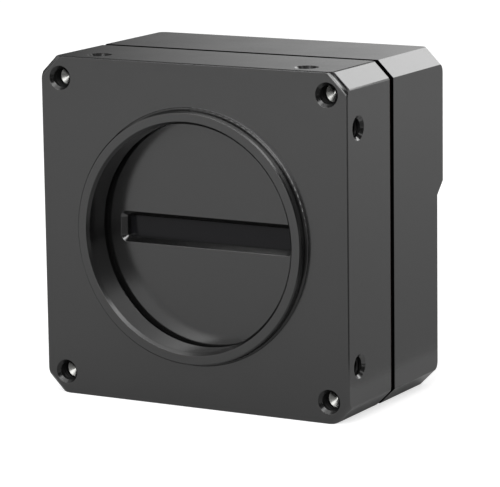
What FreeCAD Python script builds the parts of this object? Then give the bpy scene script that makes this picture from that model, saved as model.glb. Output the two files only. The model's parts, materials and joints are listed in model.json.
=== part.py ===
import FreeCAD, Part
import os

import Sketcher
from FreeCAD import Vector

# A line-scan machine vision camera in a square milled housing, in millimetres.
# The lens side faces -Y, the connectors face +Y and +Z is up. The origin lies under the middle
# of the whole camera, on the surface it stands on. Depths in this file are measured backwards
# (+Y) from the front face of the housing, heights and offsets from the lens axis.

# Every driving size, written once. Each becomes a named cell of the sheet.
SIZES = {
    # Outer body
    "body_width": 62.0,
    "body_height": 62.0,
    "corner_chamfer": 3.0,
    "corner_round": 1.1,
    "edge_break": 0.2,
    "front_depth": 16.1,
    "seam_width": 1.5,
    "seam_recess": 0.6,
    "rear_depth": 17.6,
    "raised_step": 2.35,
    "raised_margin": 4.5,
    "side_wall": 3.5,
    "rear_wall": 3.0,
    "plate_thickness": 8.3,
    # Lens mount: ring, bore, thread relief and floor
    "ring_height": 2.0,
    "ring_radius": 22.75,
    "ring_edge_break": 0.25,
    "ring_base_round": 0.5,
    "bore_radius": 20.5,
    "bore_lead_in": 0.5,
    "relief_radius": 21.2,
    "relief_width": 1.2,
    "floor_depth": 4.7,
    # Slot in the floor that the line sensor looks through
    "slot_width": 33.5,
    "slot_height": 3.95,
    "slot_corner": 0.4,
    "slot_bevel": 0.85,
    "slot_land": 1.15,
    # Window behind the slot
    "window_rim": 1.8,
    "window_thickness": 1.0,
    "window_clearance": 0.1,
    # Line sensor
    "sensor_depth": 10.0,
    "die_width": 30.6,
    "die_height": 2.6,
    "die_thickness": 0.7,
    "package_width": 41.0,
    "package_height": 10.2,
    "package_thickness": 3.2,
    "package_rim": 1.0,
    "package_cavity_width": 34.5,
    "package_cavity_height": 6.0,
    "package_standoff": 1.0,
    "cover_rim": 1.0,
    "cover_thickness": 0.7,
    "seal_rim": 1.4,
    "lead_width": 0.5,
    "lead_thickness": 0.25,
    "lead_pitch": 2.54,
    "leads_per_row": 12,
    "lead_row_spacing": 7.62,
    # Threaded M4 holes: tapping radius, countersink, thread length and places
    "m4_tap_radius": 1.65,
    "m4_sink_radius": 2.2,
    "m4_length": 3.1,
    "front_hole_inset": 4.0,
    "side_hole_inset": 10.0,
    "side_hole_depth": 4.0,
    # Corner posts and the long screws that clamp the two housings
    "post_reach": 10.0,
    "housing_screw_inset": 6.0,
    "housing_screw_radius": 1.2,
    "housing_tap_radius": 1.25,
    "housing_clear_radius": 1.6,
    "housing_thread_length": 5.5,
    "housing_head_radius": 2.75,
    "housing_head_height": 3.0,
    "housing_head_recess": 0.2,
    "housing_head_clearance": 0.15,
    "housing_key_width": 2.5,
    "housing_key_depth": 1.4,
    # Lip of the front housing that the seam gasket sits on
    "lip_inset": 2.1,
    "lip_thickness": 1.2,
    "lip_overlap": 1.0,
    "lip_clearance": 0.15,
    "post_relief": 0.5,
    # Circuit boards
    "board_thickness": 1.6,
    "board_gap": 0.7,
    "board_spacing": 3.2,
    "board_screw_inset": 4.0,
    "board_screw_height": 12.0,
    "boss_radius": 2.6,
    "m2_tap_radius": 0.8,
    "m2_screw_radius": 0.77,
    "m2_clear_radius": 1.1,
    "m2_thread_length": 3.0,
    "tap_run_out": 0.5,
    "m2_cross_length": 2.6,
    "m2_cross_width": 0.4,
    "spacer_floor": 0.4,
    "screw_tip_clearance": 0.6,
    "m2_head_radius": 1.9,
    "m2_head_height": 1.2,
    "spacer_width": 4.0,
    "board_edge_gap": 0.6,
    # Connectors between the boards
    "link_width": 22.0,
    "link_height": 5.0,
    "link_wall": 0.8,
    "link_base": 0.6,
    "link_clearance": 0.2,
    "sensor_link_height": 17.5,
    "interface_link_gap": 2.5,
    # Chips and their heat path
    "processor_width": 22.0,
    "processor_lid_width": 19.0,
    "processor_base": 0.9,
    "processor_lid": 1.1,
    "processor_gap": 3.0,
    "pad_thickness": 1.0,
    "memory_width": 9.0,
    "memory_height": 12.0,
    "memory_thickness": 1.1,
    "memory_offset": 8.0,
    "memory_gap": 3.0,
    "magnetics_width": 15.0,
    "magnetics_height": 6.6,
    "magnetics_thickness": 5.2,
    "inductor_width": 6.6,
    "inductor_thickness": 3.2,
    "inductor_offset": 6.5,
    "inductor_pitch": 9.0,
    "chip_gap": 1.0,
    # Network jack
    "jack_side_gap": 1.0,
    "jack_top_gap": 2.7,
    "jack_width": 16.0,
    "jack_height": 13.6,
    "jack_length": 13.2,
    "jack_recess": 0.3,
    "jack_clearance": 0.15,
    "shield_wall": 0.3,
    "plug_width": 11.8,
    "plug_height": 6.9,
    "plug_depth": 11.5,
    "latch_width": 6.2,
    "latch_height": 2.2,
    "contacts_per_jack": 8,
    "contact_pitch": 1.02,
    "contact_width": 0.4,
    "contact_thickness": 0.3,
    "contact_rise": 1.7,
    "contact_inset": 1.5,
    "contact_flat": 2.0,
    "contact_slope": 5.0,
    "lock_spacing": 20.4,
    # Round power and signal socket
    "socket_side_gap": 0.5,
    "socket_top_gap": 3.5,
    "socket_reach": 4.0,
    "socket_radius": 5.0,
    "socket_bore_radius": 4.1,
    "socket_bore_depth": 8.2,
    "barrel_radius": 5.2,
    "flange_radius": 6.5,
    "flange_thickness": 1.2,
    "socket_seal": 0.5,
    "socket_clearance": 0.15,
    "socket_bevel": 0.3,
    "seal_inset": 0.2,
    "nut_width": 11.8,
    "nut_thickness": 2.0,
    "nut_clearance": 0.03,
    "insert_thickness": 2.8,
    "insert_flange": 0.8,
    "insert_clearance": 0.05,
    "insert_step": 0.2,
    "pin_clearance": 0.03,
    "socket_pin_radius": 0.35,
    "socket_pin_length": 3.8,
    "outer_pin_circle": 2.75,
    "inner_pin_circle": 1.05,
    "outer_pins": 9,
    "inner_pins": 3,
    # Status light
    "light_offset": 3.4,
    "light_top_gap": 3.5,
    "light_radius": 1.4,
    "light_clearance": 0.1,
    "light_proud": 0.3,
    "led_width": 2.0,
    "led_thickness": 0.8,
}

# Leg that a 45 degree corner chamfer loses for each millimetre its outline is moved inwards
CHAMFER_LOSS = 2 - 2 ** 0.5

# Places worked out from the sizes, as expressions that the document evaluates
HALF_WIDTH = "Sizes.body_width / 2"
HALF_HEIGHT = "Sizes.body_height / 2"
REAR_START = "(Sizes.front_depth + Sizes.seam_width)"
REAR_END = f"({REAR_START} + Sizes.rear_depth)"
RAISED_END = f"({REAR_END} + Sizes.raised_step)"
TOTAL_DEPTH = f"(Sizes.ring_height + {RAISED_END} + Sizes.socket_reach)"
FRONT_PLACE = f"(Sizes.ring_height - {TOTAL_DEPTH} / 2)"
WINDOW_FRONT = "(Sizes.floor_depth + Sizes.slot_bevel + Sizes.slot_land)"
WINDOW_BACK = f"({WINDOW_FRONT} + Sizes.window_thickness)"
WINDOW_WIDTH = "(Sizes.slot_width + 2 * Sizes.window_rim)"
WINDOW_HEIGHT = "(Sizes.slot_height + 2 * Sizes.window_rim)"
PACKAGE_FRONT = "(Sizes.sensor_depth - Sizes.package_rim)"
PACKAGE_BACK = f"({PACKAGE_FRONT} + Sizes.package_thickness)"
SENSOR_BOARD = f"({PACKAGE_BACK} + Sizes.package_standoff)"
PROCESSING_BOARD = f"({SENSOR_BOARD} + Sizes.board_thickness + Sizes.board_spacing)"
PROCESSING_BACK = f"({PROCESSING_BOARD} + Sizes.board_thickness)"
PROCESSOR_BACK = f"({PROCESSING_BACK} + Sizes.processor_base + Sizes.processor_lid)"
INTERFACE_BACK = f"({RAISED_END} - Sizes.jack_recess - Sizes.jack_length)"
INTERFACE_BOARD = f"({INTERFACE_BACK} - Sizes.board_thickness)"
INNER_REAR = f"({REAR_END} - Sizes.rear_wall)"
INNER_RAISED = f"({RAISED_END} - Sizes.rear_wall)"
CAVITY_HALF_WIDTH = f"({HALF_WIDTH} - Sizes.side_wall)"
CAVITY_HALF_HEIGHT = f"({HALF_HEIGHT} - Sizes.side_wall)"
BOARD_SCREW_ACROSS = f"({CAVITY_HALF_WIDTH} - Sizes.board_screw_inset)"
JACK_ACROSS = f"-({HALF_WIDTH} - Sizes.post_reach - Sizes.jack_width / 2 - Sizes.jack_side_gap)"
JACK_UP = f"({CAVITY_HALF_HEIGHT} - Sizes.jack_height / 2 - Sizes.jack_top_gap)"
SOCKET_ACROSS = f"({HALF_WIDTH} - Sizes.post_reach - Sizes.flange_radius - Sizes.socket_side_gap)"
SOCKET_UP = f"({CAVITY_HALF_HEIGHT} - Sizes.flange_radius - Sizes.socket_top_gap)"
LIGHT_UP = f"({CAVITY_HALF_HEIGHT} - Sizes.light_top_gap)"
RAISED_START = f"({JACK_UP} - Sizes.jack_height / 2 - Sizes.raised_margin)"
CHIP_TOP = f"({JACK_UP} - Sizes.jack_height / 2 - Sizes.chip_gap)"
INTERFACE_BOTTOM = f"({CHIP_TOP} - Sizes.magnetics_height - Sizes.board_edge_gap)"
INTERFACE_LINK_UP = f"({CAVITY_HALF_HEIGHT} - Sizes.link_height / 2 - Sizes.interface_link_gap)"
PROCESSOR_UP = f"({INTERFACE_BOTTOM} - Sizes.processor_gap - Sizes.processor_lid_width / 2)"
MEMORY_UP = f"({PROCESSOR_UP} + (Sizes.processor_width + Sizes.memory_height) / 2 + Sizes.memory_gap)"
FIRST_INDUCTOR = f"({SOCKET_ACROSS} - Sizes.inductor_offset)"
HOUSING_SCREW_ACROSS = f"({HALF_WIDTH} - Sizes.housing_screw_inset)"
HOUSING_SCREW_UP = f"({HALF_HEIGHT} - Sizes.housing_screw_inset)"
HEAD_SEAT = f"({REAR_END} - Sizes.housing_head_height - Sizes.housing_head_recess)"
HEAD_HOLE = "(Sizes.housing_head_radius + Sizes.housing_head_clearance)"
SOCKET_FLOOR = f"({RAISED_END} + Sizes.socket_reach - Sizes.socket_bore_depth)"
LIGHT_HOLE = "(Sizes.light_radius + Sizes.light_clearance)"
SIGNS = ((-1, -1), (1, -1), (1, 1), (-1, 1))
FULL_TURN = 360
DRILL_ANGLE = 118
COUNTERSINK_ANGLE = 90
MARGIN = 5.0

doc = FreeCAD.newDocument("machine_vision_camera")


# ---------------------------------------------------------------- sheet and small helpers

def make_sheet():
    """One named cell for each driving size."""
    sheet = doc.addObject("Spreadsheet::Sheet", "Sizes")
    for row, (name, value) in enumerate(SIZES.items(), start=1):
        sheet.set(f"A{row}", name.replace("_", " "))
        sheet.set(f"B{row}", str(value))
        sheet.setAlias(f"B{row}", name)
    doc.recompute()
    return sheet


def value_of(expression):
    """The number that an expression on the sheet gives now."""
    return float(sheet.evalExpression(str(expression)))


def sub_part(name, depth="0", across="0", up="0"):
    """An empty body, with its own origin set at a depth behind the front face."""
    body = doc.addObject("PartDesign::Body", name)
    body.Label = name
    body.AllowCompound = True
    body.setExpression(".Placement.Base.x", across)
    body.setExpression(".Placement.Base.y", f"{FRONT_PLACE} + {depth}")
    body.setExpression(".Placement.Base.z", f"{HALF_HEIGHT} + {up}")
    return body


def sketch_on(body, name, depth="0", plane="XZ_Plane"):
    """A sketch on one of the body's planes; on XZ it lies at a depth and is seen from the front."""
    sketch = body.newObject("Sketcher::SketchObject", name)
    datum = next(item for item in body.Origin.OriginFeatures if item.Role == plane)
    sketch.AttachmentSupport = [(datum, "")]
    sketch.MapMode = "FlatFace"
    offset = f"-({depth})" if plane == "XZ_Plane" else depth
    sketch.setExpression(".AttachmentOffset.Base.z", offset)
    return sketch


def pin_point(sketch, geometry, point, across, up):
    """Fixes one point of a sketch at two expressions measured from its origin."""
    for kind, expression in (("DistanceX", across), ("DistanceY", up)):
        constraint = Sketcher.Constraint(kind, -1, 1, geometry, point, value_of(expression))
        index = sketch.addConstraint(constraint)
        sketch.setExpression(f"Constraints[{index}]", str(expression))


def polygon(sketch, corners):
    """A closed outline of straight edges through corners given as pairs of expressions."""
    spots = [Vector(value_of(across), value_of(up), 0) for across, up in corners]
    count = len(spots)
    first = sketch.GeometryCount
    for index in range(count):
        sketch.addGeometry(Part.LineSegment(spots[index], spots[(index + 1) % count]))
    for index in range(count):
        following = first + (index + 1) % count
        sketch.addConstraint(Sketcher.Constraint("Coincident", first + index, 2, following, 1))
    for index, (across, up) in enumerate(corners):
        pin_point(sketch, first + index, 1, across, up)


def rectangle(sketch, half_width, half_height, across="0", up="0"):
    """A rectangle about a centre, from its half sizes."""
    polygon(sketch, [(f"{across} + {x} * {half_width}", f"{up} + {y} * {half_height}")
                     for x, y in SIGNS])


def circle(sketch, radius, across="0", up="0"):
    """A circle at a centre."""
    centre = Vector(value_of(across), value_of(up), 0)
    index = sketch.addGeometry(Part.Circle(centre, Vector(0, 0, 1), value_of(radius)))
    pin_point(sketch, index, 3, across, up)
    constraint = sketch.addConstraint(Sketcher.Constraint("Radius", index, value_of(radius)))
    sketch.setExpression(f"Constraints[{constraint}]", str(radius))


def hexagon(sketch, width, across="0", up="0"):
    """A hexagon by its width across flats, flats up and down."""
    half = f"({width}) / 2"
    side = f"({width}) / 2 / sqrt(3)"
    corners = [(f"{across} + {x} * {side}", f"{up} + {y} * {half}")
               for x, y in ((-1, -1), (1, -1), (2, 0), (1, 1), (-1, 1), (-2, 0))]
    polygon(sketch, corners)


def body_outline(sketch, inset="0"):
    """The housing's square outline with its chamfered corners, moved inwards by an inset."""
    wide = f"({HALF_WIDTH} - {inset})"
    tall = f"({HALF_HEIGHT} - {inset})"
    leg = f"(Sizes.corner_chamfer - {CHAMFER_LOSS:.6f} * ({inset}))"
    corners = []
    for x, y in SIGNS:
        along = (f"{x} * ({wide} - {leg})", f"{y} * {tall}")
        beside = (f"{x} * {wide}", f"{y} * ({tall} - {leg})")
        corners += [beside, along] if x * y > 0 else [along, beside]
    polygon(sketch, corners)


def notched_outline(sketch, gap="0", bottom=None):
    """The inside of the housing: a rectangle with the corner posts cut out of it."""
    wide = f"({CAVITY_HALF_WIDTH} - {gap})"
    tall = f"({CAVITY_HALF_HEIGHT} - {gap})"
    post_across = f"({HALF_WIDTH} - Sizes.post_reach - {gap})"
    post_up = f"({HALF_HEIGHT} - Sizes.post_reach - {gap})"
    upper = [(wide, post_up), (post_across, post_up), (post_across, tall),
             (f"-{post_across}", tall), (f"-{post_across}", post_up), (f"-{wide}", post_up)]
    if bottom:
        polygon(sketch, upper + [(f"-{wide}", bottom), (wide, bottom)])
        return
    lower = [(f"-1 * {across}", f"-{up}") for across, up in upper]
    polygon(sketch, upper + lower)


def pad(body, name, sketch, length, backwards=True):
    """Adds material from a sketch; backwards is away from the lens."""
    feature = body.newObject("PartDesign::Pad", name)
    feature.Profile = sketch
    feature.setExpression("Length", length)
    feature.Reversed = backwards
    return feature


def pocket(body, name, sketch, depth, forwards=False):
    """Cuts a sketch backwards into the material, or forwards from its rear side."""
    feature = body.newObject("PartDesign::Pocket", name)
    feature.Profile = sketch
    feature.setExpression("Length", depth)
    feature.Reversed = forwards
    return feature


def turned(body, name, sketch, cutting=False):
    """Turns a half section about the body's front-to-back axis."""
    kind = "PartDesign::Groove" if cutting else "PartDesign::Revolution"
    feature = body.newObject(kind, name)
    feature.Profile = sketch
    feature.ReferenceAxis = (sketch, ["V_Axis"])
    feature.Angle = FULL_TURN
    return feature


def drilled(body, name, sketch, radius, depth, sink_radius=None, reverse=False):
    """Drills every circle of a sketch, with a drill point and an optional countersink."""
    doc.recompute()
    feature = body.newObject("PartDesign::Hole", name)
    feature.Profile = sketch
    feature.Reversed = reverse
    feature.DepthType = "Dimension"
    feature.DrillPoint = "Angled"
    feature.DrillPointAngle = DRILL_ANGLE
    feature.setExpression("Diameter", f"2 * {radius}")
    feature.setExpression("Depth", depth)
    if sink_radius:
        feature.HoleCutType = "Countersink"
        feature.HoleCutCustomValues = True
        feature.HoleCutCountersinkAngle = COUNTERSINK_ANGLE
        feature.setExpression("HoleCutDiameter", f"2 * {sink_radius}")
    return feature


def edges_where(feature, test):
    """Names of a feature's edges that pass a test."""
    doc.recompute()
    names = [f"Edge{number}" for number, edge in enumerate(feature.Shape.Edges, start=1)
             if test(edge)]
    if not names:
        raise RuntimeError(f"{feature.Label} has no such edges")
    return names


def dressed(body, kind, name, base, test, size):
    """A fillet or chamfer along the edges of a feature that pass a test."""
    names = edges_where(base, test)
    feature = body.newObject(f"PartDesign::{kind}", name)
    feature.Base = (base, names)
    feature.setExpression("Radius" if kind == "Fillet" else "Size", size)
    return feature


def near(first, second):
    return abs(first - second) < 1e-4


def middle_of(edge):
    return edge.valueAt((edge.FirstParameter + edge.LastParameter) / 2)


def lies_at_depth(edge, depth):
    """True when the whole edge lies at one depth."""
    box = edge.BoundBox
    return near(box.YMin, depth) and near(box.YMax, depth)


def is_circle(edge, radius):
    return isinstance(edge.Curve, Part.Circle) and near(edge.Curve.Radius, radius)


def is_corner_end(edge, depth, lowest=None):
    """True for the short edge where a corner chamfer of the body ends at a depth."""
    if not lies_at_depth(edge, depth) or not isinstance(edge.Curve, Part.Line):
        return False
    spot = middle_of(edge)
    half_leg = value_of("Sizes.corner_chamfer") / 2
    return near(abs(spot.x), value_of(HALF_WIDTH) - half_leg) \
        and near(abs(spot.z), value_of(HALF_HEIGHT) - half_leg) \
        and (lowest is None or spot.z > lowest)


def board_screw_spots(rows=(-1, 1)):
    """Centres of the board screws, left and right, in the rows asked for."""
    return [(f"{x} * {BOARD_SCREW_ACROSS}", f"{y} * Sizes.board_screw_height")
            for y in rows for x in (-1, 1)]


def housing_screw_spots():
    return [(f"{x} * {HOUSING_SCREW_ACROSS}", f"{y} * {HOUSING_SCREW_UP}") for x, y in SIGNS]


def circles(sketch, radius, spots):
    for across, up in spots:
        circle(sketch, radius, across, up)


# ---------------------------------------------------------------- the two housings

def front_housing():
    """Front block with the lens ring, slotted floor, screw holes and the lip for the gasket."""
    body = sub_part("front_housing")
    outline = sketch_on(body, "front_outline")
    body_outline(outline)
    block = pad(body, "block", outline, "Sizes.front_depth")
    rounded = dressed(body, "Fillet", "corner_ends", block,
                      lambda edge: is_corner_end(edge, 0), "Sizes.corner_round")
    long_edge = value_of("Sizes.body_width") / 2
    dressed(body, "Chamfer", "front_edge_break", rounded,
            lambda edge: lies_at_depth(edge, 0) and edge.Length > long_edge,
            "Sizes.edge_break")

    # Lens ring, standing proud of the face
    ring_sketch = sketch_on(body, "ring_circle")
    circle(ring_sketch, "Sizes.ring_radius")
    ring = pad(body, "ring", ring_sketch, "Sizes.ring_height", backwards=False)
    ring_radius = value_of("Sizes.ring_radius")
    ring_front = -value_of("Sizes.ring_height")
    based = dressed(body, "Fillet", "ring_base", ring,
                    lambda edge: is_circle(edge, ring_radius) and lies_at_depth(edge, 0),
                    "Sizes.ring_base_round")
    dressed(body, "Chamfer", "ring_edge", based,
            lambda edge: is_circle(edge, ring_radius) and lies_at_depth(edge, ring_front),
            "Sizes.ring_edge_break")

    # Bore for the lens, with its lead-in and the relief at the end of the thread
    section = sketch_on(body, "bore_section", plane="XY_Plane")
    relief_start = "Sizes.floor_depth - Sizes.relief_width"
    polygon(section, [
        ("0", "-Sizes.ring_height"),
        ("Sizes.bore_radius + Sizes.bore_lead_in", "-Sizes.ring_height"),
        ("Sizes.bore_radius", "Sizes.bore_lead_in - Sizes.ring_height"),
        ("Sizes.bore_radius", relief_start),
        ("Sizes.relief_radius", relief_start),
        ("Sizes.relief_radius", "Sizes.floor_depth"),
        ("0", "Sizes.floor_depth")])
    turned(body, "bore", section, cutting=True)

    # Hollow for the boards and the seat of the window, cut from behind
    hollow = sketch_on(body, "hollow_outline", "Sizes.front_depth")
    notched_outline(hollow)
    pocket(body, "hollow", hollow, "Sizes.front_depth - Sizes.plate_thickness", forwards=True)
    seat = sketch_on(body, "window_seat_outline", "Sizes.plate_thickness")
    rectangle(seat, f"({WINDOW_WIDTH} / 2 + Sizes.window_clearance)",
              f"({WINDOW_HEIGHT} / 2 + Sizes.window_clearance)")
    pocket(body, "window_seat", seat, f"Sizes.plate_thickness - {WINDOW_FRONT}", forwards=True)

    # Slot, with milled corners and a bevel round its mouth
    slot_sketch = sketch_on(body, "slot_outline", "Sizes.floor_depth")
    rectangle(slot_sketch, "Sizes.slot_width / 2", "Sizes.slot_height / 2")
    slot = pocket(body, "slot", slot_sketch, "Sizes.slot_bevel + Sizes.slot_land")
    half_width = value_of("Sizes.slot_width") / 2
    half_height = value_of("Sizes.slot_height") / 2
    cornered = dressed(body, "Fillet", "slot_corners", slot,
                       lambda edge: near(abs(middle_of(edge).x), half_width)
                       and near(abs(middle_of(edge).z), half_height),
                       "Sizes.slot_corner")
    floor = value_of("Sizes.floor_depth")
    dressed(body, "Chamfer", "slot_mouth", cornered,
            lambda edge: lies_at_depth(edge, floor)
            and abs(middle_of(edge).x) < half_width + 1e-3
            and abs(middle_of(edge).z) < half_height + 1e-3,
            "Sizes.slot_bevel")

    # Bosses for the sensor board
    bosses = sketch_on(body, "boss_circles", "Sizes.plate_thickness")
    circles(bosses, "Sizes.boss_radius", board_screw_spots())
    pad(body, "bosses", bosses, f"{SENSOR_BOARD} - Sizes.plate_thickness")
    taps = sketch_on(body, "boss_taps", SENSOR_BOARD)
    circles(taps, "Sizes.m2_tap_radius", board_screw_spots())
    drilled(body, "boss_threads", taps, "Sizes.m2_tap_radius",
            "Sizes.m2_thread_length + Sizes.tap_run_out", reverse=True)

    # Lip that centres the rear housing and carries the gasket
    lip_outline = sketch_on(body, "lip_outline", "Sizes.front_depth")
    body_outline(lip_outline, "Sizes.lip_inset")
    body_outline(lip_outline, "(Sizes.lip_inset + Sizes.lip_thickness)")
    pad(body, "lip", lip_outline, "Sizes.seam_width + Sizes.lip_overlap")

    # Threads for the housing screws, in the corner posts
    screw_taps = sketch_on(body, "housing_taps", "Sizes.front_depth")
    circles(screw_taps, "Sizes.housing_tap_radius", housing_screw_spots())
    drilled(body, "housing_threads", screw_taps, "Sizes.housing_tap_radius",
            "Sizes.housing_thread_length + Sizes.tap_run_out", reverse=True)
    mounting_holes(body)
    return body


def mounting_holes(body):
    """Threaded M4 holes: four on the front face and two on each of the four sides."""
    face = sketch_on(body, "front_hole_centres")
    circles(face, "Sizes.m4_tap_radius",
            [(f"{x} * ({HALF_WIDTH} - Sizes.front_hole_inset)",
              f"{y} * ({HALF_HEIGHT} - Sizes.front_hole_inset)") for x, y in SIGNS])
    drilled(body, "front_holes", face, "Sizes.m4_tap_radius", "Sizes.m4_length",
            "Sizes.m4_sink_radius")

    for side, sign in (("right", 1), ("left", -1)):
        centres = sketch_on(body, f"{side}_hole_centres", f"{sign} * {HALF_WIDTH}", "YZ_Plane")
        circles(centres, "Sizes.m4_tap_radius",
                [("Sizes.side_hole_depth", f"{y} * ({HALF_HEIGHT} - Sizes.side_hole_inset)")
                 for y in (-1, 1)])
        drilled(body, f"{side}_holes", centres, "Sizes.m4_tap_radius", "Sizes.m4_length",
                "Sizes.m4_sink_radius", reverse=sign < 0)

    for side, sign in (("top", 1), ("bottom", -1)):
        centres = sketch_on(body, f"{side}_hole_centres", f"{sign} * {HALF_HEIGHT}", "XY_Plane")
        circles(centres, "Sizes.m4_tap_radius",
                [(f"{x} * ({HALF_WIDTH} - Sizes.side_hole_inset)", "Sizes.side_hole_depth")
                 for x in (-1, 1)])
        drilled(body, f"{side}_holes", centres, "Sizes.m4_tap_radius", "Sizes.m4_length",
                "Sizes.m4_sink_radius", reverse=sign < 0)


def rear_housing():
    """Rear block: a hollow box whose upper back stands proud to carry the connectors."""
    body = sub_part("rear_housing", REAR_START)
    outline = sketch_on(body, "rear_outline")
    body_outline(outline)
    block = pad(body, "block", outline, "Sizes.rear_depth + Sizes.raised_step")

    # The lower back is stepped in below the raised block, with a 45 degree slope between
    step = sketch_on(body, "step_section", plane="YZ_Plane")
    beyond = f"Sizes.rear_depth + Sizes.raised_step + {MARGIN}"
    below = f"-({HALF_HEIGHT} + {MARGIN})"
    polygon(step, [
        ("Sizes.rear_depth + Sizes.raised_step", RAISED_START),
        ("Sizes.rear_depth", f"{RAISED_START} - Sizes.raised_step"),
        ("Sizes.rear_depth", below),
        (beyond, below),
        (beyond, RAISED_START)])
    stepped = body.newObject("PartDesign::Pocket", "lower_step")
    stepped.Profile = step
    stepped.Type = "ThroughAll"
    stepped.SideType = "Symmetric"
    rear = value_of("Sizes.rear_depth")
    raised = value_of("Sizes.rear_depth + Sizes.raised_step")
    dressed(body, "Fillet", "corner_ends", stepped,
            lambda edge: is_corner_end(edge, rear) or is_corner_end(edge, raised, 0),
            "Sizes.corner_round")

    # Hollow: the lower part, then the deeper part behind the raised block
    hollow = sketch_on(body, "hollow_outline")
    notched_outline(hollow)
    pocket(body, "hollow", hollow, "Sizes.rear_depth - Sizes.rear_wall")
    upper = sketch_on(body, "upper_hollow_outline", "Sizes.rear_depth - Sizes.rear_wall")
    notched_outline(upper, bottom=f"{RAISED_START} + Sizes.rear_wall / 2")
    pocket(body, "upper_hollow", upper, "Sizes.raised_step")

    # Recess that the lip of the front housing enters
    recess = sketch_on(body, "lip_recess_outline")
    body_outline(recess, "(Sizes.lip_inset - Sizes.lip_clearance)")
    body_outline(recess, "(Sizes.lip_inset + Sizes.lip_thickness + Sizes.lip_clearance)")
    pocket(body, "lip_recess", recess, "Sizes.lip_overlap + Sizes.lip_clearance")

    # Corner posts reach forward to the posts of the front housing
    posts = sketch_on(body, "post_outlines")
    reach = "(Sizes.post_reach - Sizes.side_wall - Sizes.post_relief)"
    for x, y in SIGNS:
        rectangle(posts, f"{reach} / 2", f"{reach} / 2",
                  f"{x} * ({HALF_WIDTH} - Sizes.post_reach + {reach} / 2)",
                  f"{y} * ({HALF_HEIGHT} - Sizes.post_reach + {reach} / 2)")
    pad(body, "posts", posts, "Sizes.seam_width", backwards=False)
    holes = sketch_on(body, "housing_screw_circles", "-Sizes.seam_width")
    circles(holes, "Sizes.housing_clear_radius", housing_screw_spots())
    pocket(body, "housing_screw_holes", holes,
           "Sizes.seam_width + Sizes.rear_depth + Sizes.raised_step")
    heads = sketch_on(body, "housing_head_circles", f"{HEAD_SEAT} - {REAR_START}")
    circles(heads, HEAD_HOLE, housing_screw_spots())
    pocket(body, "housing_head_holes", heads,
           f"{RAISED_END} - {HEAD_SEAT} + {MARGIN}")

    # Pedestal that carries the processor's heat to the lower back
    pedestal_front = f"({PROCESSOR_BACK} + Sizes.pad_thickness - {REAR_START})"
    pedestal = sketch_on(body, "pedestal_outline", pedestal_front)
    rectangle(pedestal, "Sizes.processor_lid_width / 2", "Sizes.processor_lid_width / 2",
              up=PROCESSOR_UP)
    pad(body, "pedestal", pedestal, f"{INNER_REAR} - {REAR_START} - {pedestal_front}")
    rear_openings(body)
    return body


def rear_openings(body):
    """Cut-outs of the raised block for the jack, its locking screws, the socket and the light."""
    inner = f"{INNER_RAISED} - {REAR_START}"
    jack = sketch_on(body, "jack_opening", inner)
    rectangle(jack, "(Sizes.jack_width / 2 + Sizes.jack_clearance)",
              "(Sizes.jack_height / 2 + Sizes.jack_clearance)",
              JACK_ACROSS, JACK_UP)
    pocket(body, "jack_cutout", jack, "Sizes.rear_wall")
    rounds = sketch_on(body, "round_openings", inner)
    circle(rounds, "Sizes.barrel_radius + Sizes.socket_clearance",
           SOCKET_ACROSS, SOCKET_UP)
    circle(rounds, LIGHT_HOLE, "Sizes.light_offset", LIGHT_UP)
    for side in (-1, 1):
        circle(rounds, "Sizes.m2_tap_radius",
               f"{side} * Sizes.lock_spacing / 2 + {JACK_ACROSS}", JACK_UP)
    pocket(body, "round_cutouts", rounds, "Sizes.rear_wall")


def seam_gasket():
    """Flat frame of rubber round the lip, set back a little from the outer faces."""
    body = sub_part("seam_gasket", "Sizes.front_depth")
    frame = sketch_on(body, "gasket_outline")
    body_outline(frame, "Sizes.seam_recess")
    body_outline(frame, "(Sizes.lip_inset - Sizes.lip_clearance / 2)")
    pad(body, "frame", frame, "Sizes.seam_width")
    return body


def housing_screws():
    """Four long socket-head screws, put in from behind, one at each corner."""
    body = sub_part("housing_screws", HEAD_SEAT)
    shank_length = f"({HEAD_SEAT} - Sizes.front_depth + Sizes.housing_thread_length)"
    shanks = sketch_on(body, "shank_circles")
    circles(shanks, "Sizes.housing_screw_radius", housing_screw_spots())
    pad(body, "shanks", shanks, shank_length, backwards=False)
    heads = sketch_on(body, "head_circles")
    circles(heads, "Sizes.housing_head_radius", housing_screw_spots())
    pad(body, "heads", heads, "Sizes.housing_head_height")
    keys = sketch_on(body, "key_outlines",
                     "Sizes.housing_head_height - Sizes.housing_key_depth")
    for across, up in housing_screw_spots():
        hexagon(keys, "Sizes.housing_key_width", across, up)
    pocket(body, "key_sockets", keys, "Sizes.housing_key_depth")
    return body


# ---------------------------------------------------------------- window and line sensor

def window_glass():
    """Protective glass in its seat behind the slot."""
    body = sub_part("window_glass", WINDOW_FRONT)
    outline = sketch_on(body, "glass_outline")
    rectangle(outline, f"{WINDOW_WIDTH} / 2", f"{WINDOW_HEIGHT} / 2")
    pad(body, "pane", outline, "Sizes.window_thickness")
    return body


def dust_seal():
    """Foam frame that closes the gap between the window and the sensor package."""
    body = sub_part("dust_seal", WINDOW_BACK)
    frame = sketch_on(body, "seal_outline")
    rectangle(frame, f"{WINDOW_WIDTH} / 2", f"{WINDOW_HEIGHT} / 2")
    rectangle(frame, f"({WINDOW_WIDTH} / 2 - Sizes.seal_rim)",
              f"({WINDOW_HEIGHT} / 2 - Sizes.seal_rim)")
    pad(body, "frame", frame, f"{PACKAGE_FRONT} - {WINDOW_BACK}")
    return body


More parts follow.
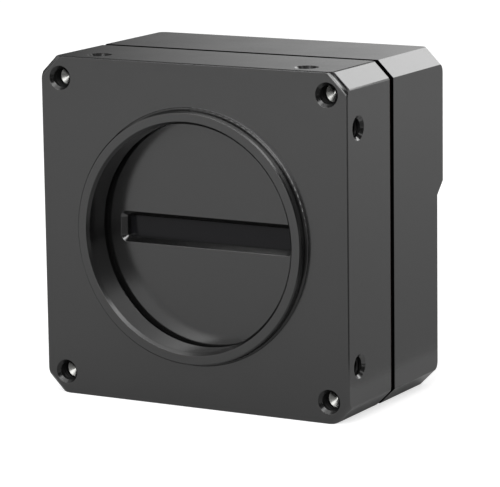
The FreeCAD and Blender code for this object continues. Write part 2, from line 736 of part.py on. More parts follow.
def sensor_package():
    """Ceramic carrier with a stepped hollow: a ledge for the cover and a floor for the die."""
    body = sub_part("sensor_package", PACKAGE_FRONT)
    outline = sketch_on(body, "package_outline")
    rectangle(outline, "Sizes.package_width / 2", "Sizes.package_height / 2")
    pad(body, "block", outline, "Sizes.package_thickness")
    ledge = sketch_on(body, "cover_ledge")
    rectangle(ledge, "(Sizes.package_cavity_width / 2 + Sizes.cover_rim)",
              "(Sizes.package_cavity_height / 2 + Sizes.cover_rim)")
    pocket(body, "ledge", ledge, "Sizes.cover_thickness")
    cavity = sketch_on(body, "die_hollow")
    rectangle(cavity, "Sizes.package_cavity_width / 2", "Sizes.package_cavity_height / 2")
    pocket(body, "die_seat", cavity, "Sizes.package_rim + Sizes.die_thickness")
    return body


def sensor_cover():
    """Thin glass that seals the die in its package."""
    body = sub_part("sensor_cover_glass", PACKAGE_FRONT)
    outline = sketch_on(body, "cover_outline")
    rectangle(outline, "(Sizes.package_cavity_width / 2 + Sizes.cover_rim)",
              "(Sizes.package_cavity_height / 2 + Sizes.cover_rim)")
    pad(body, "pane", outline, "Sizes.cover_thickness")
    return body


def sensor_die():
    """Silicon die that holds the line of pixels, on the lens axis."""
    body = sub_part("sensor_die", "Sizes.sensor_depth")
    outline = sketch_on(body, "die_outline")
    rectangle(outline, "Sizes.die_width / 2", "Sizes.die_height / 2")
    pad(body, "die", outline, "Sizes.die_thickness")
    return body


def repeated(body, name, feature, direction, length, copies):
    """Repeats a feature to the right in equal steps."""
    pattern = body.newObject("PartDesign::LinearPattern", name)
    pattern.Originals = [feature]
    pattern.Direction = direction
    pattern.setExpression("Length", length)
    pattern.setExpression("Occurrences", copies)
    body.Tip = pattern


def sensor_leads():
    """Two rows of flat leads that stand between the package and the sensor board."""
    body = sub_part("sensor_leads", PACKAGE_BACK)
    start = "-(Sizes.leads_per_row - 1) / 2 * Sizes.lead_pitch"
    outline = sketch_on(body, "lead_outlines")
    for row in (-1, 1):
        rectangle(outline, "Sizes.lead_width / 2", "Sizes.lead_thickness / 2",
                  start, f"{row} * Sizes.lead_row_spacing / 2")
    first = pad(body, "first_leads", outline, "Sizes.package_standoff")
    repeated(body, "all_leads", first, (outline, ["H_Axis"]),
             "(Sizes.leads_per_row - 1) * Sizes.lead_pitch", "Sizes.leads_per_row")
    return body


# ---------------------------------------------------------------- circuit boards

def board(name, depth, screw_rows=(-1, 1), bottom=None):
    """A board cut to clear the corner posts, with its screw holes."""
    body = sub_part(name, depth)
    outline = sketch_on(body, "board_outline")
    notched_outline(outline, "Sizes.board_gap", bottom)
    circles(outline, "Sizes.m2_clear_radius", board_screw_spots(screw_rows))
    pad(body, "laminate", outline, "Sizes.board_thickness")
    return body


def spacers(name, depth, length, stud, rows):
    """Hexagonal spacers with a stud at the front and a thread at the back."""
    body = sub_part(name, depth)
    outline = sketch_on(body, "spacer_outlines")
    studs = sketch_on(body, "stud_circles")
    taps = sketch_on(body, "tap_circles", length)
    for across, up in board_screw_spots(rows):
        hexagon(outline, "Sizes.spacer_width", across, up)
        circle(studs, "Sizes.m2_screw_radius", across, up)
        circle(taps, "Sizes.m2_tap_radius", across, up)
    pad(body, "spacers", outline, length)
    pad(body, "studs", studs, stud, backwards=False)
    pocket(body, "threads", taps, f"{length} - Sizes.spacer_floor", forwards=True)
    return body


def board_screws(name, depth, thread, rows):
    """Pan-head screws with a cross slot, their heads on the back of a board."""
    body = sub_part(name, depth)
    heads = sketch_on(body, "head_circles")
    shanks = sketch_on(body, "shank_circles")
    slots = sketch_on(body, "slot_outlines", "Sizes.m2_head_height / 2")
    for across, up in board_screw_spots(rows):
        circle(heads, "Sizes.m2_head_radius", across, up)
        circle(shanks, "Sizes.m2_screw_radius", across, up)
        rectangle(slots, "Sizes.m2_cross_length / 2", "Sizes.m2_cross_width / 2", across, up)
    pad(body, "heads", heads, "Sizes.m2_head_height")
    pad(body, "shanks", shanks, f"Sizes.board_thickness + {thread}", backwards=False)
    pocket(body, "slots", slots, "Sizes.m2_head_height")
    return body


def link_pair(names, front, back, up):
    """Board-to-board connector: a plug on the front board and its socket on the next one."""
    gap = f"({back} - {front})"
    half_width = "Sizes.link_width / 2"
    half_height = "Sizes.link_height / 2"
    hollow_width = f"({half_width} - Sizes.link_wall)"
    hollow_height = f"({half_height} - Sizes.link_wall)"
    plug = sub_part(names[0], front, up=up)
    base = sketch_on(plug, "base_outline")
    rectangle(base, half_width, half_height)
    pad(plug, "base", base, "Sizes.link_base")
    tongue = sketch_on(plug, "tongue_outline", "Sizes.link_base")
    rectangle(tongue, f"({hollow_width} - Sizes.link_clearance)",
              f"({hollow_height} - Sizes.link_clearance)")
    pad(plug, "tongue", tongue, f"{gap} - 2 * Sizes.link_base - Sizes.link_clearance")
    socket = sub_part(names[1], f"{front} + Sizes.link_base", up=up)
    shell = sketch_on(socket, "shell_outline")
    rectangle(shell, half_width, half_height)
    pad(socket, "shell", shell, f"{gap} - Sizes.link_base")
    hollow = sketch_on(socket, "hollow_outline")
    rectangle(hollow, hollow_width, hollow_height)
    pocket(socket, "hollow", hollow, f"{gap} - 2 * Sizes.link_base")
    return [plug, socket]


def chip(name, depth, half_width, half_height, thickness, spots):
    """One or more plain moulded chips standing on a board."""
    body = sub_part(name, depth)
    outline = sketch_on(body, "chip_outline")
    for across, up in spots:
        rectangle(outline, half_width, half_height, across, up)
    pad(body, "moulding", outline, thickness)
    return body


def image_processor():
    """Processor on its carrier, with the metal lid that the thermal pad lies on."""
    body = sub_part("image_processor", PROCESSING_BACK, up=PROCESSOR_UP)
    carrier = sketch_on(body, "carrier_outline")
    rectangle(carrier, "Sizes.processor_width / 2", "Sizes.processor_width / 2")
    pad(body, "carrier", carrier, "Sizes.processor_base")
    lid = sketch_on(body, "lid_outline", "Sizes.processor_base")
    rectangle(lid, "Sizes.processor_lid_width / 2", "Sizes.processor_lid_width / 2")
    pad(body, "lid", lid, "Sizes.processor_lid")
    return body


def thermal_pad():
    body = sub_part("thermal_pad", PROCESSOR_BACK, up=PROCESSOR_UP)
    outline = sketch_on(body, "pad_outline")
    rectangle(outline, "Sizes.processor_lid_width / 2", "Sizes.processor_lid_width / 2")
    pad(body, "pad", outline, "Sizes.pad_thickness")
    return body


# ---------------------------------------------------------------- connectors at the back

def jack_shield():
    """Folded steel shield round the network jack, open at the mouth and at the board."""
    body = sub_part("jack_shield", INTERFACE_BACK, JACK_ACROSS, JACK_UP)
    outline = sketch_on(body, "shield_outline")
    rectangle(outline, "Sizes.jack_width / 2", "Sizes.jack_height / 2")
    rectangle(outline, "(Sizes.jack_width / 2 - Sizes.shield_wall)",
              "(Sizes.jack_height / 2 - Sizes.shield_wall)")
    pad(body, "shield", outline, "Sizes.jack_length")
    return body


PLUG_FLOOR = "(-(Sizes.plug_height + Sizes.latch_height) / 2)"


def jack_insert():
    """Moulded inside of the jack: the cavity for the plug with the groove for its latch."""
    body = sub_part("jack_insert", INTERFACE_BACK, JACK_ACROSS, JACK_UP)
    outline = sketch_on(body, "insert_outline")
    rectangle(outline, "(Sizes.jack_width / 2 - Sizes.shield_wall)",
              "(Sizes.jack_height / 2 - Sizes.shield_wall)")
    pad(body, "moulding", outline, "Sizes.jack_length")
    cavity = sketch_on(body, "plug_outline", "Sizes.jack_length")
    half_plug = "Sizes.plug_width / 2"
    half_latch = "Sizes.latch_width / 2"
    ceiling = f"({PLUG_FLOOR} + Sizes.plug_height)"
    latch_top = f"({ceiling} + Sizes.latch_height)"
    polygon(cavity, [
        (f"-{half_plug}", PLUG_FLOOR), (half_plug, PLUG_FLOOR), (half_plug, ceiling),
        (half_latch, ceiling), (half_latch, latch_top), (f"-{half_latch}", latch_top),
        (f"-{half_latch}", ceiling), (f"-{half_plug}", ceiling)])
    pocket(body, "plug_cavity", cavity, "Sizes.plug_depth", forwards=True)
    return body


def jack_contacts():
    """Eight springy contact wires: flat on the cavity's floor, then rising towards the inside."""
    body = sub_part("jack_contacts", INTERFACE_BACK, JACK_ACROSS, JACK_UP)
    span = "(Sizes.contacts_per_jack - 1) * Sizes.contact_pitch"
    side = sketch_on(body, "contact_section", f"-({span} + Sizes.contact_width) / 2", "YZ_Plane")
    mouth = "(Sizes.jack_length - Sizes.contact_inset)"
    bend = f"({mouth} - Sizes.contact_flat)"
    inner = f"({bend} - Sizes.contact_slope)"
    polygon(side, [
        (mouth, PLUG_FLOOR), (mouth, f"{PLUG_FLOOR} + Sizes.contact_thickness"),
        (bend, f"{PLUG_FLOOR} + Sizes.contact_thickness"),
        (inner, f"{PLUG_FLOOR} + Sizes.contact_rise"),
        (inner, f"{PLUG_FLOOR} + Sizes.contact_rise - Sizes.contact_thickness"),
        (bend, PLUG_FLOOR)])
    first = pad(body, "first_contact", side, "Sizes.contact_width", backwards=False)
    across = next(item for item in body.Origin.OriginFeatures if item.Role == "X_Axis")
    repeated(body, "contacts", first, (across, [""]), span, "Sizes.contacts_per_jack")
    return body


def at_socket(name, depth):
    return sub_part(name, depth, SOCKET_ACROSS, SOCKET_UP)


def socket_shell():
    """Plated shell of the round socket: flange, outer ring and the threaded barrel."""
    body = at_socket("socket_shell", RAISED_END)
    section = sketch_on(body, "shell_section", plane="XY_Plane")
    flange_back = "(Sizes.socket_seal + Sizes.flange_thickness)"
    barrel_end = "(Sizes.socket_reach - Sizes.socket_bore_depth " \
                 "- Sizes.insert_thickness + Sizes.insert_flange)"
    bevel = "Sizes.socket_bevel"
    polygon(section, [
        ("Sizes.socket_bore_radius", barrel_end),
        ("Sizes.barrel_radius", barrel_end),
        ("Sizes.barrel_radius", "Sizes.socket_seal"),
        ("Sizes.flange_radius", "Sizes.socket_seal"),
        ("Sizes.flange_radius", f"{flange_back} - {bevel}"),
        (f"Sizes.flange_radius - {bevel}", flange_back),
        ("Sizes.socket_radius", flange_back),
        ("Sizes.socket_radius", f"Sizes.socket_reach - {bevel}"),
        (f"Sizes.socket_radius - {bevel}", "Sizes.socket_reach"),
        (f"Sizes.socket_bore_radius + {bevel}", "Sizes.socket_reach"),
        ("Sizes.socket_bore_radius", f"Sizes.socket_reach - {bevel}")])
    turned(body, "shell", section)
    return body


def socket_pin_spots():
    """Pins evenly spread on an outer and an inner circle."""
    spots = []
    for ring in ("outer", "inner"):
        count = int(value_of(f"Sizes.{ring}_pins"))
        radius = f"Sizes.{ring}_pin_circle"
        for index in range(count):
            turn = FULL_TURN * index / count + FULL_TURN / 4
            spots.append((f"{radius} * cos({turn:.3f})", f"{radius} * sin({turn:.3f})"))
    return spots


def socket_insert():
    """Insulating disc that holds the pins, seated on the end of the barrel."""
    body = at_socket("socket_insert", SOCKET_FLOOR)
    disc = sketch_on(body, "disc_circle")
    circle(disc, "Sizes.socket_bore_radius - Sizes.insert_clearance")
    pad(body, "disc", disc, "Sizes.insert_thickness", backwards=False)
    flange = sketch_on(body, "flange_circle",
                       "Sizes.insert_flange - Sizes.insert_thickness")
    circle(flange, "Sizes.barrel_radius - Sizes.insert_step")
    pad(body, "flange", flange, "Sizes.insert_flange", backwards=False)
    holes = sketch_on(body, "pin_hole_circles", "0")
    circles(holes, "(Sizes.socket_pin_radius + Sizes.pin_clearance)", socket_pin_spots())
    pocket(body, "pin_holes", holes, "Sizes.insert_thickness", forwards=True)
    return body


def socket_pins():
    """Twelve pins, from their tips in the socket to the board behind it."""
    body = at_socket("socket_pins", INTERFACE_BACK)
    outline = sketch_on(body, "pin_circles")
    circles(outline, "Sizes.socket_pin_radius", socket_pin_spots())
    pad(body, "pins", outline, f"{SOCKET_FLOOR} + Sizes.socket_pin_length - {INTERFACE_BACK}")
    return body


def socket_nut():
    """Hexagonal nut that clamps the shell to the inside of the back wall."""
    body = at_socket("socket_nut", f"{INNER_RAISED} - Sizes.nut_thickness")
    outline = sketch_on(body, "nut_outline")
    hexagon(outline, "Sizes.nut_width")
    circle(outline, "Sizes.barrel_radius + Sizes.nut_clearance")
    pad(body, "nut", outline, "Sizes.nut_thickness")
    return body


def socket_seal():
    """Rubber washer between the flange and the back wall."""
    body = at_socket("socket_seal", RAISED_END)
    outline = sketch_on(body, "seal_circles")
    circle(outline, "Sizes.flange_radius - Sizes.seal_inset")
    circle(outline, "Sizes.barrel_radius + Sizes.socket_clearance")
    pad(body, "washer", outline, "Sizes.socket_seal")
    return body


def status_light():
    """Light pipe with a domed end, over a small LED on the interface board."""
    pipe_start = f"{INTERFACE_BACK} + Sizes.led_thickness"
    pipe = sub_part("status_light_pipe", pipe_start, "Sizes.light_offset", LIGHT_UP)
    outline = sketch_on(pipe, "pipe_circle")
    circle(outline, "Sizes.light_radius")
    rod = pad(pipe, "rod", outline, f"{RAISED_END} + Sizes.light_proud - ({pipe_start})")
    end = value_of(f"{RAISED_END} + Sizes.light_proud - ({pipe_start})")
    dressed(pipe, "Fillet", "dome", rod, lambda edge: lies_at_depth(edge, end),
            "Sizes.light_proud")
    led = sub_part("status_led", INTERFACE_BACK, "Sizes.light_offset", LIGHT_UP)
    base = sketch_on(led, "led_outline")
    rectangle(base, "Sizes.led_width / 2", "Sizes.led_width / 3")
    pad(led, "led", base, "Sizes.led_thickness")
    return [pipe, led]


# ---------------------------------------------------------------- the whole camera

def assemble():
    """Builds every sub-part, front to back."""
    parts = [front_housing(), window_glass(), dust_seal(), sensor_package(), sensor_cover(),
             sensor_die(), sensor_leads(), board("sensor_board", SENSOR_BOARD)]
    sensor_back = f"({SENSOR_BOARD} + Sizes.board_thickness)"
    parts += link_pair(("sensor_link_plug", "sensor_link_socket"), sensor_back,
                       PROCESSING_BOARD, "-Sizes.sensor_link_height")
    parts.append(spacers("board_spacers", sensor_back, "Sizes.board_spacing",
                         "Sizes.board_thickness + Sizes.m2_thread_length", (-1, 1)))
    parts.append(board("processing_board", PROCESSING_BOARD))
    parts.append(image_processor())
    parts.append(thermal_pad())
    parts.append(chip("memory_chips", PROCESSING_BACK, "Sizes.memory_width / 2",
                      "Sizes.memory_height / 2", "Sizes.memory_thickness",
                      [(f"{side} * Sizes.memory_offset", MEMORY_UP)
                       for side in (-1, 1)]))
    parts.append(board_screws("processing_board_screws", PROCESSING_BACK,
                              "Sizes.m2_thread_length - Sizes.screw_tip_clearance", (-1,)))
    second_gap = f"({INTERFACE_BOARD} - {PROCESSING_BACK})"
    parts.append(spacers("interface_spacers", PROCESSING_BACK, second_gap,
                         "Sizes.board_thickness + Sizes.m2_thread_length "
                         "- Sizes.screw_tip_clearance", (1,)))
    parts += link_pair(("interface_link_plug", "interface_link_socket"), PROCESSING_BACK,
                       INTERFACE_BOARD, INTERFACE_LINK_UP)
    parts.append(board("interface_board", INTERFACE_BOARD, (1,), INTERFACE_BOTTOM))
    parts.append(board_screws("interface_board_screws", INTERFACE_BACK,
                              f"{second_gap} - Sizes.spacer_floor - Sizes.screw_tip_clearance", (1,)))
    parts.append(chip("network_magnetics", INTERFACE_BACK, "Sizes.magnetics_width / 2",
                      "Sizes.magnetics_height / 2", "Sizes.magnetics_thickness",
                      [(JACK_ACROSS, f"{CHIP_TOP} - Sizes.magnetics_height / 2")]))
    parts.append(chip("power_inductors", INTERFACE_BACK, "Sizes.inductor_width / 2",
                      "Sizes.inductor_width / 2", "Sizes.inductor_thickness",
                      [(f"{FIRST_INDUCTOR} + {index} * Sizes.inductor_pitch",
                        f"{CHIP_TOP} - Sizes.inductor_width / 2") for index in (0, 1)]))
    parts += [jack_shield(), jack_insert(), jack_contacts()]
    parts += [socket_shell(), socket_insert(), socket_pins(), socket_nut(), socket_seal()]
    parts += status_light()
    parts += [seam_gasket(), rear_housing(), housing_screws()]
    doc.recompute()
    return parts


def check_document(parts):
    """Stops when a feature failed or a sub-part has no valid shape."""
    for item in doc.Objects:
        if "Invalid" in item.State or "Error" in item.State:
            raise RuntimeError(f"{item.Label} did not recompute: {item.State}")
    for part in parts:
        if part.Shape.isNull() or not part.Shape.isValid() or not part.Shape.Solids:
            raise RuntimeError(f"{part.Label} has no valid solid")


def write_parts(parts):
    os.makedirs("parts", exist_ok=True)
    for part in parts:
        part.Shape.exportStep(os.path.join("parts", f"{part.Label}.step"))
        print(part.Label, len(part.Shape.Solids), round(part.Shape.Volume, 2))


sheet = make_sheet()
sub_parts = assemble()
check_document(sub_parts)
write_parts(sub_parts)
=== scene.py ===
import json
from math import cos, pi, radians, sin

import bmesh
import bpy
from bpy.props import FloatProperty, FloatVectorProperty, IntProperty, PointerProperty
from mathutils import Matrix, Vector


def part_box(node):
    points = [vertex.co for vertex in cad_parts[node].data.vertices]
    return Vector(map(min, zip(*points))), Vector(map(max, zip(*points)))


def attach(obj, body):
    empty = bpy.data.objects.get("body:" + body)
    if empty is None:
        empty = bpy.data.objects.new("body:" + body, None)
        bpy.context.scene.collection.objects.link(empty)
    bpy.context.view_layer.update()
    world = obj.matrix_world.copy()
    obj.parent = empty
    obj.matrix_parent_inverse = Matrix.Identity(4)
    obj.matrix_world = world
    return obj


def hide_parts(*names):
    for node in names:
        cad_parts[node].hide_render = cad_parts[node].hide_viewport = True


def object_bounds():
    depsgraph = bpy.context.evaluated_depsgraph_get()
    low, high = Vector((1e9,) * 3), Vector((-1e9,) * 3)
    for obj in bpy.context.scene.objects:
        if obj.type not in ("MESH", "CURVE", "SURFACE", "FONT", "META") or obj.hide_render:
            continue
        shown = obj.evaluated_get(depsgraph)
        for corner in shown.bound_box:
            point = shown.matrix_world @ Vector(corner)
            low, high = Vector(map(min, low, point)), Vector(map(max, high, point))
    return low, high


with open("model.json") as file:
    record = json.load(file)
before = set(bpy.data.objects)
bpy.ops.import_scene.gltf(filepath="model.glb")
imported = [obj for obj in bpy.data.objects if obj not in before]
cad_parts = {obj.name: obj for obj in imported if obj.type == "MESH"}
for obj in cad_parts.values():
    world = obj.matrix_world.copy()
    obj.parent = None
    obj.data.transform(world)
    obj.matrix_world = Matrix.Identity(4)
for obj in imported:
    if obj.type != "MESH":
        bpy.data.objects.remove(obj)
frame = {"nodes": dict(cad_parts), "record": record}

bl_info = {
    "name": "Machine vision camera",
    "version": (1, 0, 0),
    "blender": (4, 5, 0),
    "location": "3D View > Sidebar > Vision camera",
    "description": "Dresses the camera's solids in their finishes and sets up its studio",
    "category": "Object",
}

CAD_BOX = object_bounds()
MM = 0.001
FULL_TURN = 2 * pi
WORLD_AXES = (Vector((1, 0, 0)), Vector((0, 1, 0)), Vector((0, 0, 1)))


def linear(code):
    """Linear RGBA of an sRGB colour written as #rrggbb."""
    channels = [int(code[place:place + 2], 16) / 255 for place in (1, 3, 5)]
    return [value / 12.92 if value <= 0.04045 else ((value + 0.055) / 1.055) ** 2.4
            for value in channels] + [1.0]


# ---------------------------------------------------------------- sizes of the shapes

# Corners of a solid's triangles that are closer than this are one corner
WELD = 0.002 * MM
# Edges sharper than this stay crisp, and anything gentler is a rounded surface
CRISP_ANGLE = radians(32)
# Any real angle, above what rounding in the mesh gives
SLIGHT_ANGLE = 1e-3
# How closely two normals agree where their faces lie in one plane
SAME_PLANE = 1 - 1e-7
# Faces in one plane that together are larger than this are machined flats, in square metres
FLAT_AREA = 12e-6
# How far a corner may lie from the depth or radius that it is looked up by
SLACK = 0.01 * MM
DEPTH_SLACK = 0.001 * MM

MOUNTS = {mount["name"]: mount for mount in frame["record"]["mounts"]}
LENS_AXIS = Vector(MOUNTS["lens_mount"]["pos_m"])
BORE_RADIUS = MOUNTS["lens_mount"]["dims"]["r_mm"] * MM
# Depth at which the lens ring ends in front, which is the foremost of the whole camera
RING_FACE = CAD_BOX[0][1]
MOUNTING_HOLES = ("front_holes", "right_holes", "left_holes", "top_holes", "bottom_holes")
HOLE_RADIUS = MOUNTS["front_holes"]["dims"]["hole_r_mm"] * MM
# Faces farther than this along a hole's axis belong to the hole on the opposite side
HOLE_LENGTH_LIMIT = 20 * MM
# No countersink is deeper than this or wider than this many hole radii, and its slope lies
# between these cosines to the hole's axis
COUNTERSINK_DEPTH_LIMIT = 1.0 * MM
COUNTERSINK_REACH = 1.4
SLOPE_COSINES = (0.1, 0.9)

# Places of the front block's materials after the satin one: the duller oxide, the painted shade
# and the bright metal of the painted glint
DULL, PAINTED_SHADE, PAINTED_GLINT = 1, 2, 3
# Place of the painted shade material on the rear block, after its satin one
REAR_PAINTED_SHADE = 1
# Forms turned about the lens axis that aren't satin, in millimetres: their material, how far
# outside the bore they start and end, and how far behind the ring's face they start and end
TURNED_FORMS = (
    (DULL, 0.0, 0.5, 0.0, 0.5),  # lead-in of the bore
    (DULL, 2.0, 2.25, 0.0, 0.25),  # outer edge of the ring
    (DULL, 2.25, 2.75, 1.5, 2.0),  # fillet at the root of the ring
    # The next two forms are painted dark for the shade that falls in them: painted shade
    (PAINTED_SHADE, 2.68, 2.75, 1.98, 2.0),  # line where that fillet meets the front
    (PAINTED_SHADE, 0.0, 0.7, 5.5, 6.7),  # relief behind the bore's thread
)

# Steps of a mounting hole's thread along one turn
THREAD_STEPS = 10
# How the thread rises from the wall. It is a wave that climbs one pitch in each turn. It fades
# out within a pitch of both ends, so that the sleeve closes on the drilled wall. Each line has a
# result, the operation that gives it, and the two values that go in.
THREAD_SUMS = (
    ("turns", "DIVIDE", "Length", "Pitch"),
    ("steps", "MULTIPLY", "turns", THREAD_STEPS),
    ("angle", "ARCTAN2", "Y", "X"),
    ("turned", "DIVIDE", "angle", FULL_TURN),
    ("climbed", "DIVIDE", "Z", "Pitch"),
    ("along", "ADD", "turned", "climbed"),
    ("phase", "FRACT", "along", 0.0),
    ("swing", "MULTIPLY", "phase", 2.0),
    ("wave", "SUBTRACT", "swing", 1.0),
    ("tooth", "ABSOLUTE", "wave", 0.0),
    ("half", "DIVIDE", "Length", 2.0),
    ("from middle", "ABSOLUTE", "Z", 0.0),
    ("from end", "SUBTRACT", "half", "from middle"),
    ("turns left", "DIVIDE", "from end", "Pitch"),
    ("started", "MAXIMUM", "turns left", 0.0),
    ("fade", "MINIMUM", "started", 1.0),
    ("height", "MULTIPLY", "tooth", "Depth"),
    ("push", "MULTIPLY", "height", "fade"),
    ("down", "MULTIPLY", "half", -1.0),
)

# Socket-head screws at the back
HEAD_RADIUS, HEAD_HEIGHT, HEAD_BEVEL = 2.75 * MM, 3.0 * MM, 0.2 * MM
SHANK_RADIUS = 1.2 * MM
# Radius of the chamfered mouth of the key socket, against half its width across flats
KEY_MOUTH = 1.25
# The drilled point below the key socket
KEY_POINT_RADIUS, KEY_POINT_DEPTH = 0.1 * MM, 0.4 * MM
# Steps round the head for each knurled ridge
RIDGE_STEPS = 4

# ---------------------------------------------------------------- finishes

# Radius that deburring leaves on every machined edge: each edge catches a thin line of light
EDGE_BREAK = 0.1 * MM
EDGE_SAMPLES = 6
# Patterns of every finish: size in grains, and the detail and roughness of the noise
PATTERNS = {"tint": (25, 2.0, 0.5), "grain": (1, 3.0, 0.6), "gloss": (60, 1.0, 0.5)}
# Noise keeps to the middle of its range, so this part of it is spread over the whole
NOISE_LOW, NOISE_HIGH = 0.3, 0.7
# How far colour and roughness wander over a surface
TINT_DRIFT, GLOSS_DRIFT = 0.05, 0.02

# Aluminium, blasted, anodised and dyed black. The oxide is sealed and clear over its dye, so it
# is nearly black, and a satin mirror that grows paler where it is seen edge on. The refractive
# index is that of aluminium oxide.
SATIN_OXIDE = {"rough": (0.15, 0.19), "IOR": 1.76, "Specular_IOR_Level": 0.56}
# The same oxide over the marks of a turning tool or a countersink: duller and wider highlights
TURNED_OXIDE = {"rough": (0.19, 0.24), "Specular_IOR_Level": 0.47}
# The same oxide on the flanks of a cut thread, rough and in its own shade: little shine
THREAD_OXIDE = {"rough": (0.45, 0.55), "Specular_IOR_Level": 0.25}
# The same oxide deep in a groove or seam, where neither blasting nor light reaches: painted near
# black for the shade there, a painted shade with no shine
PAINTED_SHADE_OXIDE = {"rough": (0.7, 0.8), "Specular_IOR_Level": 0.01}
# How dark the painted shade is against the open faces' colour
PAINTED_SHADE_DARKNESS = 0.2
# Bright bare aluminium put at the end of each blind hole in place of the black oxide: a painted
# glint, so that the drill point shines as a small bright cone
PAINTED_GLINT_ALUMINIUM = {"rough": (0.2, 0.26), "Metallic": 1.0}
# Alloy steel, turned, knurled and blackened: dark grey with soft metal highlights
BLACK_STEEL = {"rough": (0.28, 0.36), "Metallic": 0.9}
BLACK_STEEL_COLOUR = "#2a2a2c"
BLACK_STEEL_GRAIN, BLACK_STEEL_HEIGHT = 0.08 * MM, 0.002 * MM

# Finish of each solid that shows as it is: colour, or the setting that holds it, then lowest
# and highest roughness, grain and grain height in millimetres, and other inputs of the shader
FINISHES = {
    # Moulded rubber, seen only as a hairline: no shine, with a trace of red
    "seam_rubber": ("gasket_colour", (0.7, 0.85), 0.3, 0.01, {"Specular_IOR_Level": 0.1}),
    # Polished glass with a coating against reflections: a dark pane with a faint mirror
    "window_glass": ("glass_colour", (0.06, 0.1), 4.0, 0.0005, {"Specular_IOR_Level": 0.19}),
    # Cut foam: open cells that swallow the light
    "foam_rubber": ("#161616", (0.85, 0.95), 0.5, 0.05, {}),
    # Fired alumina, tinted dark: even grey with a dull sheen
    "sensor_ceramic": ("#4b4a4c", (0.45, 0.55), 0.1, 0.004, {}),
    # Polished glass over the sensor: dark and sharply reflecting
    "cover_glass": ("#26282b", (0.04, 0.07), 4.0, 0.0005, {}),
    # Polished silicon under its filters: violet grey, half a mirror
    "silicon": ("#3a3744", (0.15, 0.25), 0.6, 0.001, {"Metallic": 0.5}),
    # Gold plated on drawn contacts: warm yellow metal
    "gold_plate": ("#d9a648", (0.2, 0.3), 0.3, 0.002, {"Metallic": 1.0}),
    # Glass-fibre laminate under green solder mask: satin, slightly wavy
    "board_laminate": ("#16442c", (0.4, 0.5), 0.4, 0.006, {}),
    # Moulded polymer filled with glass: brownish black and dull
    "connector_plastic": ("#211f1e", (0.45, 0.55), 0.2, 0.004, {}),
    # Turned brass, nickel plated: soft yellowish silver
    "nickel_brass": ("#b9b3a3", (0.25, 0.35), 0.3, 0.002, {"Metallic": 1.0}),
    # Moulded epoxy of the chips: matt black with a fine grit
    "chip_moulding": ("#1b1b1c", (0.5, 0.62), 0.1, 0.005, {}),
    # Silicone filled with ceramic powder: soft chalky blue
    "thermal_silicone": ("#7f93a6", (0.7, 0.8), 0.5, 0.01, {}),
    # Cold-headed steel, zinc plated: bluish silver
    "zinc_steel": ("#a9acb0", (0.28, 0.4), 0.4, 0.003, {"Metallic": 1.0}),
    # Pressed and fired ferrite: dark and stony
    "ferrite": ("#2b2a2b", (0.6, 0.7), 0.2, 0.008, {}),
    # Stamped steel, tinned: bright with soft reflections
    "shield_steel": ("#b4b6b8", (0.22, 0.34), 0.6, 0.002, {"Metallic": 1.0}),
    # Moulded nylon inside the jack: black with a low sheen
    "jack_plastic": ("#151516", (0.4, 0.5), 0.2, 0.004, {}),
    # Turned brass, chrome plated and blasted: grey satin metal
    "plated_shell": ("#8f9092", (0.24, 0.34), 0.3, 0.002, {"Metallic": 1.0}),
    # Moulded polymer round the pins: black with a low sheen
    "insert_plastic": ("#1a1a1b", (0.45, 0.55), 0.2, 0.004, {}),
    # Moulded rubber ring: dull black
    "seal_rubber": ("#141414", (0.65, 0.8), 0.3, 0.01, {}),
    # Moulded polycarbonate: clear, with a slightly frosted end
    "clear_plastic": ("#dfe3e4", (0.12, 0.2), 0.5, 0.002, {"Transmission_Weight": 0.6}),
    # Cast epoxy of the lamp: milky and warm
    "led_resin": ("#e9e4cf", (0.3, 0.4), 0.3, 0.002, {}),
}

# ---------------------------------------------------------------- studio

WHITE = linear("#ffffff")
# What the pale floor needs beside its light to be white to the eye, and what it adds to
# reflections, so that the undersides mirror a floor that is darker than it looks
FLOOR_GLOW, FLOOR_GLOW_IN_REFLECTIONS = 0.66, 0.03
# The studio camera sees from here to here, in metres
NEAR_LIMIT, FAR_LIMIT = 0.01, 20.0

# Cards that only reflections see, in metres: place, aim, width, height, and brightness at the
# left and right edge. Black satin shows little but what it mirrors, so the dark cards give each
# face its depth of black and the bright ones its highlights.
CARDS = (
    ("back_card", (-0.06, 0.10, 0.075), (-0.06, 0.0, 0.075), 0.12, 0.07, 0.0, 0.76),
    ("back_left_card", (-0.20, 0.10, 0.11), (-0.20, 0.0, 0.11), 0.16, 0.14, 0.0, 0.0),
    ("far_left_card", (-0.40, 0.10, 0.25), (-0.40, 0.0, 0.25), 0.24, 0.42, 0.0, 0.0),
    ("ceiling_card", (0.40, 0.24, 0.62), (0.0, 0.0, 0.05), 0.50, 0.34, 0.05, 0.05),
    ("left_card", (-0.60, -0.16, 0.20), (0.0, 0.0, 0.05), 0.30, 0.30, 0.05, 0.05),
    ("right_card", (0.47, -0.24, 0.24), (0.0, 0.0, 0.05), 0.42, 0.40, 0.05, 0.05),
    ("back_upper_card", (-0.05, 0.10, 0.145), (-0.05, 0.0, 0.145), 0.14, 0.07, 0.35, 0.35),
    ("upper_card", (-0.285, 0.06, 0.60), (-0.285, 0.06, 0.0), 0.97, 0.39, 0.15, 0.15),
    ("corner_card", (0.27, -0.37, 0.54), (0.0, 0.0, 0.03), 0.50, 0.34, 3.2, 3.2),
    ("floor_card", (0.26, -0.16, 0.002), (0.26, -0.16, 1.0), 0.40, 0.28, 0.2, 0.2),
    ("far_floor_card", (0.23, 0.22, 0.002), (0.23, 0.22, 1.0), 0.38, 0.44, 0.88, 0.40),
)

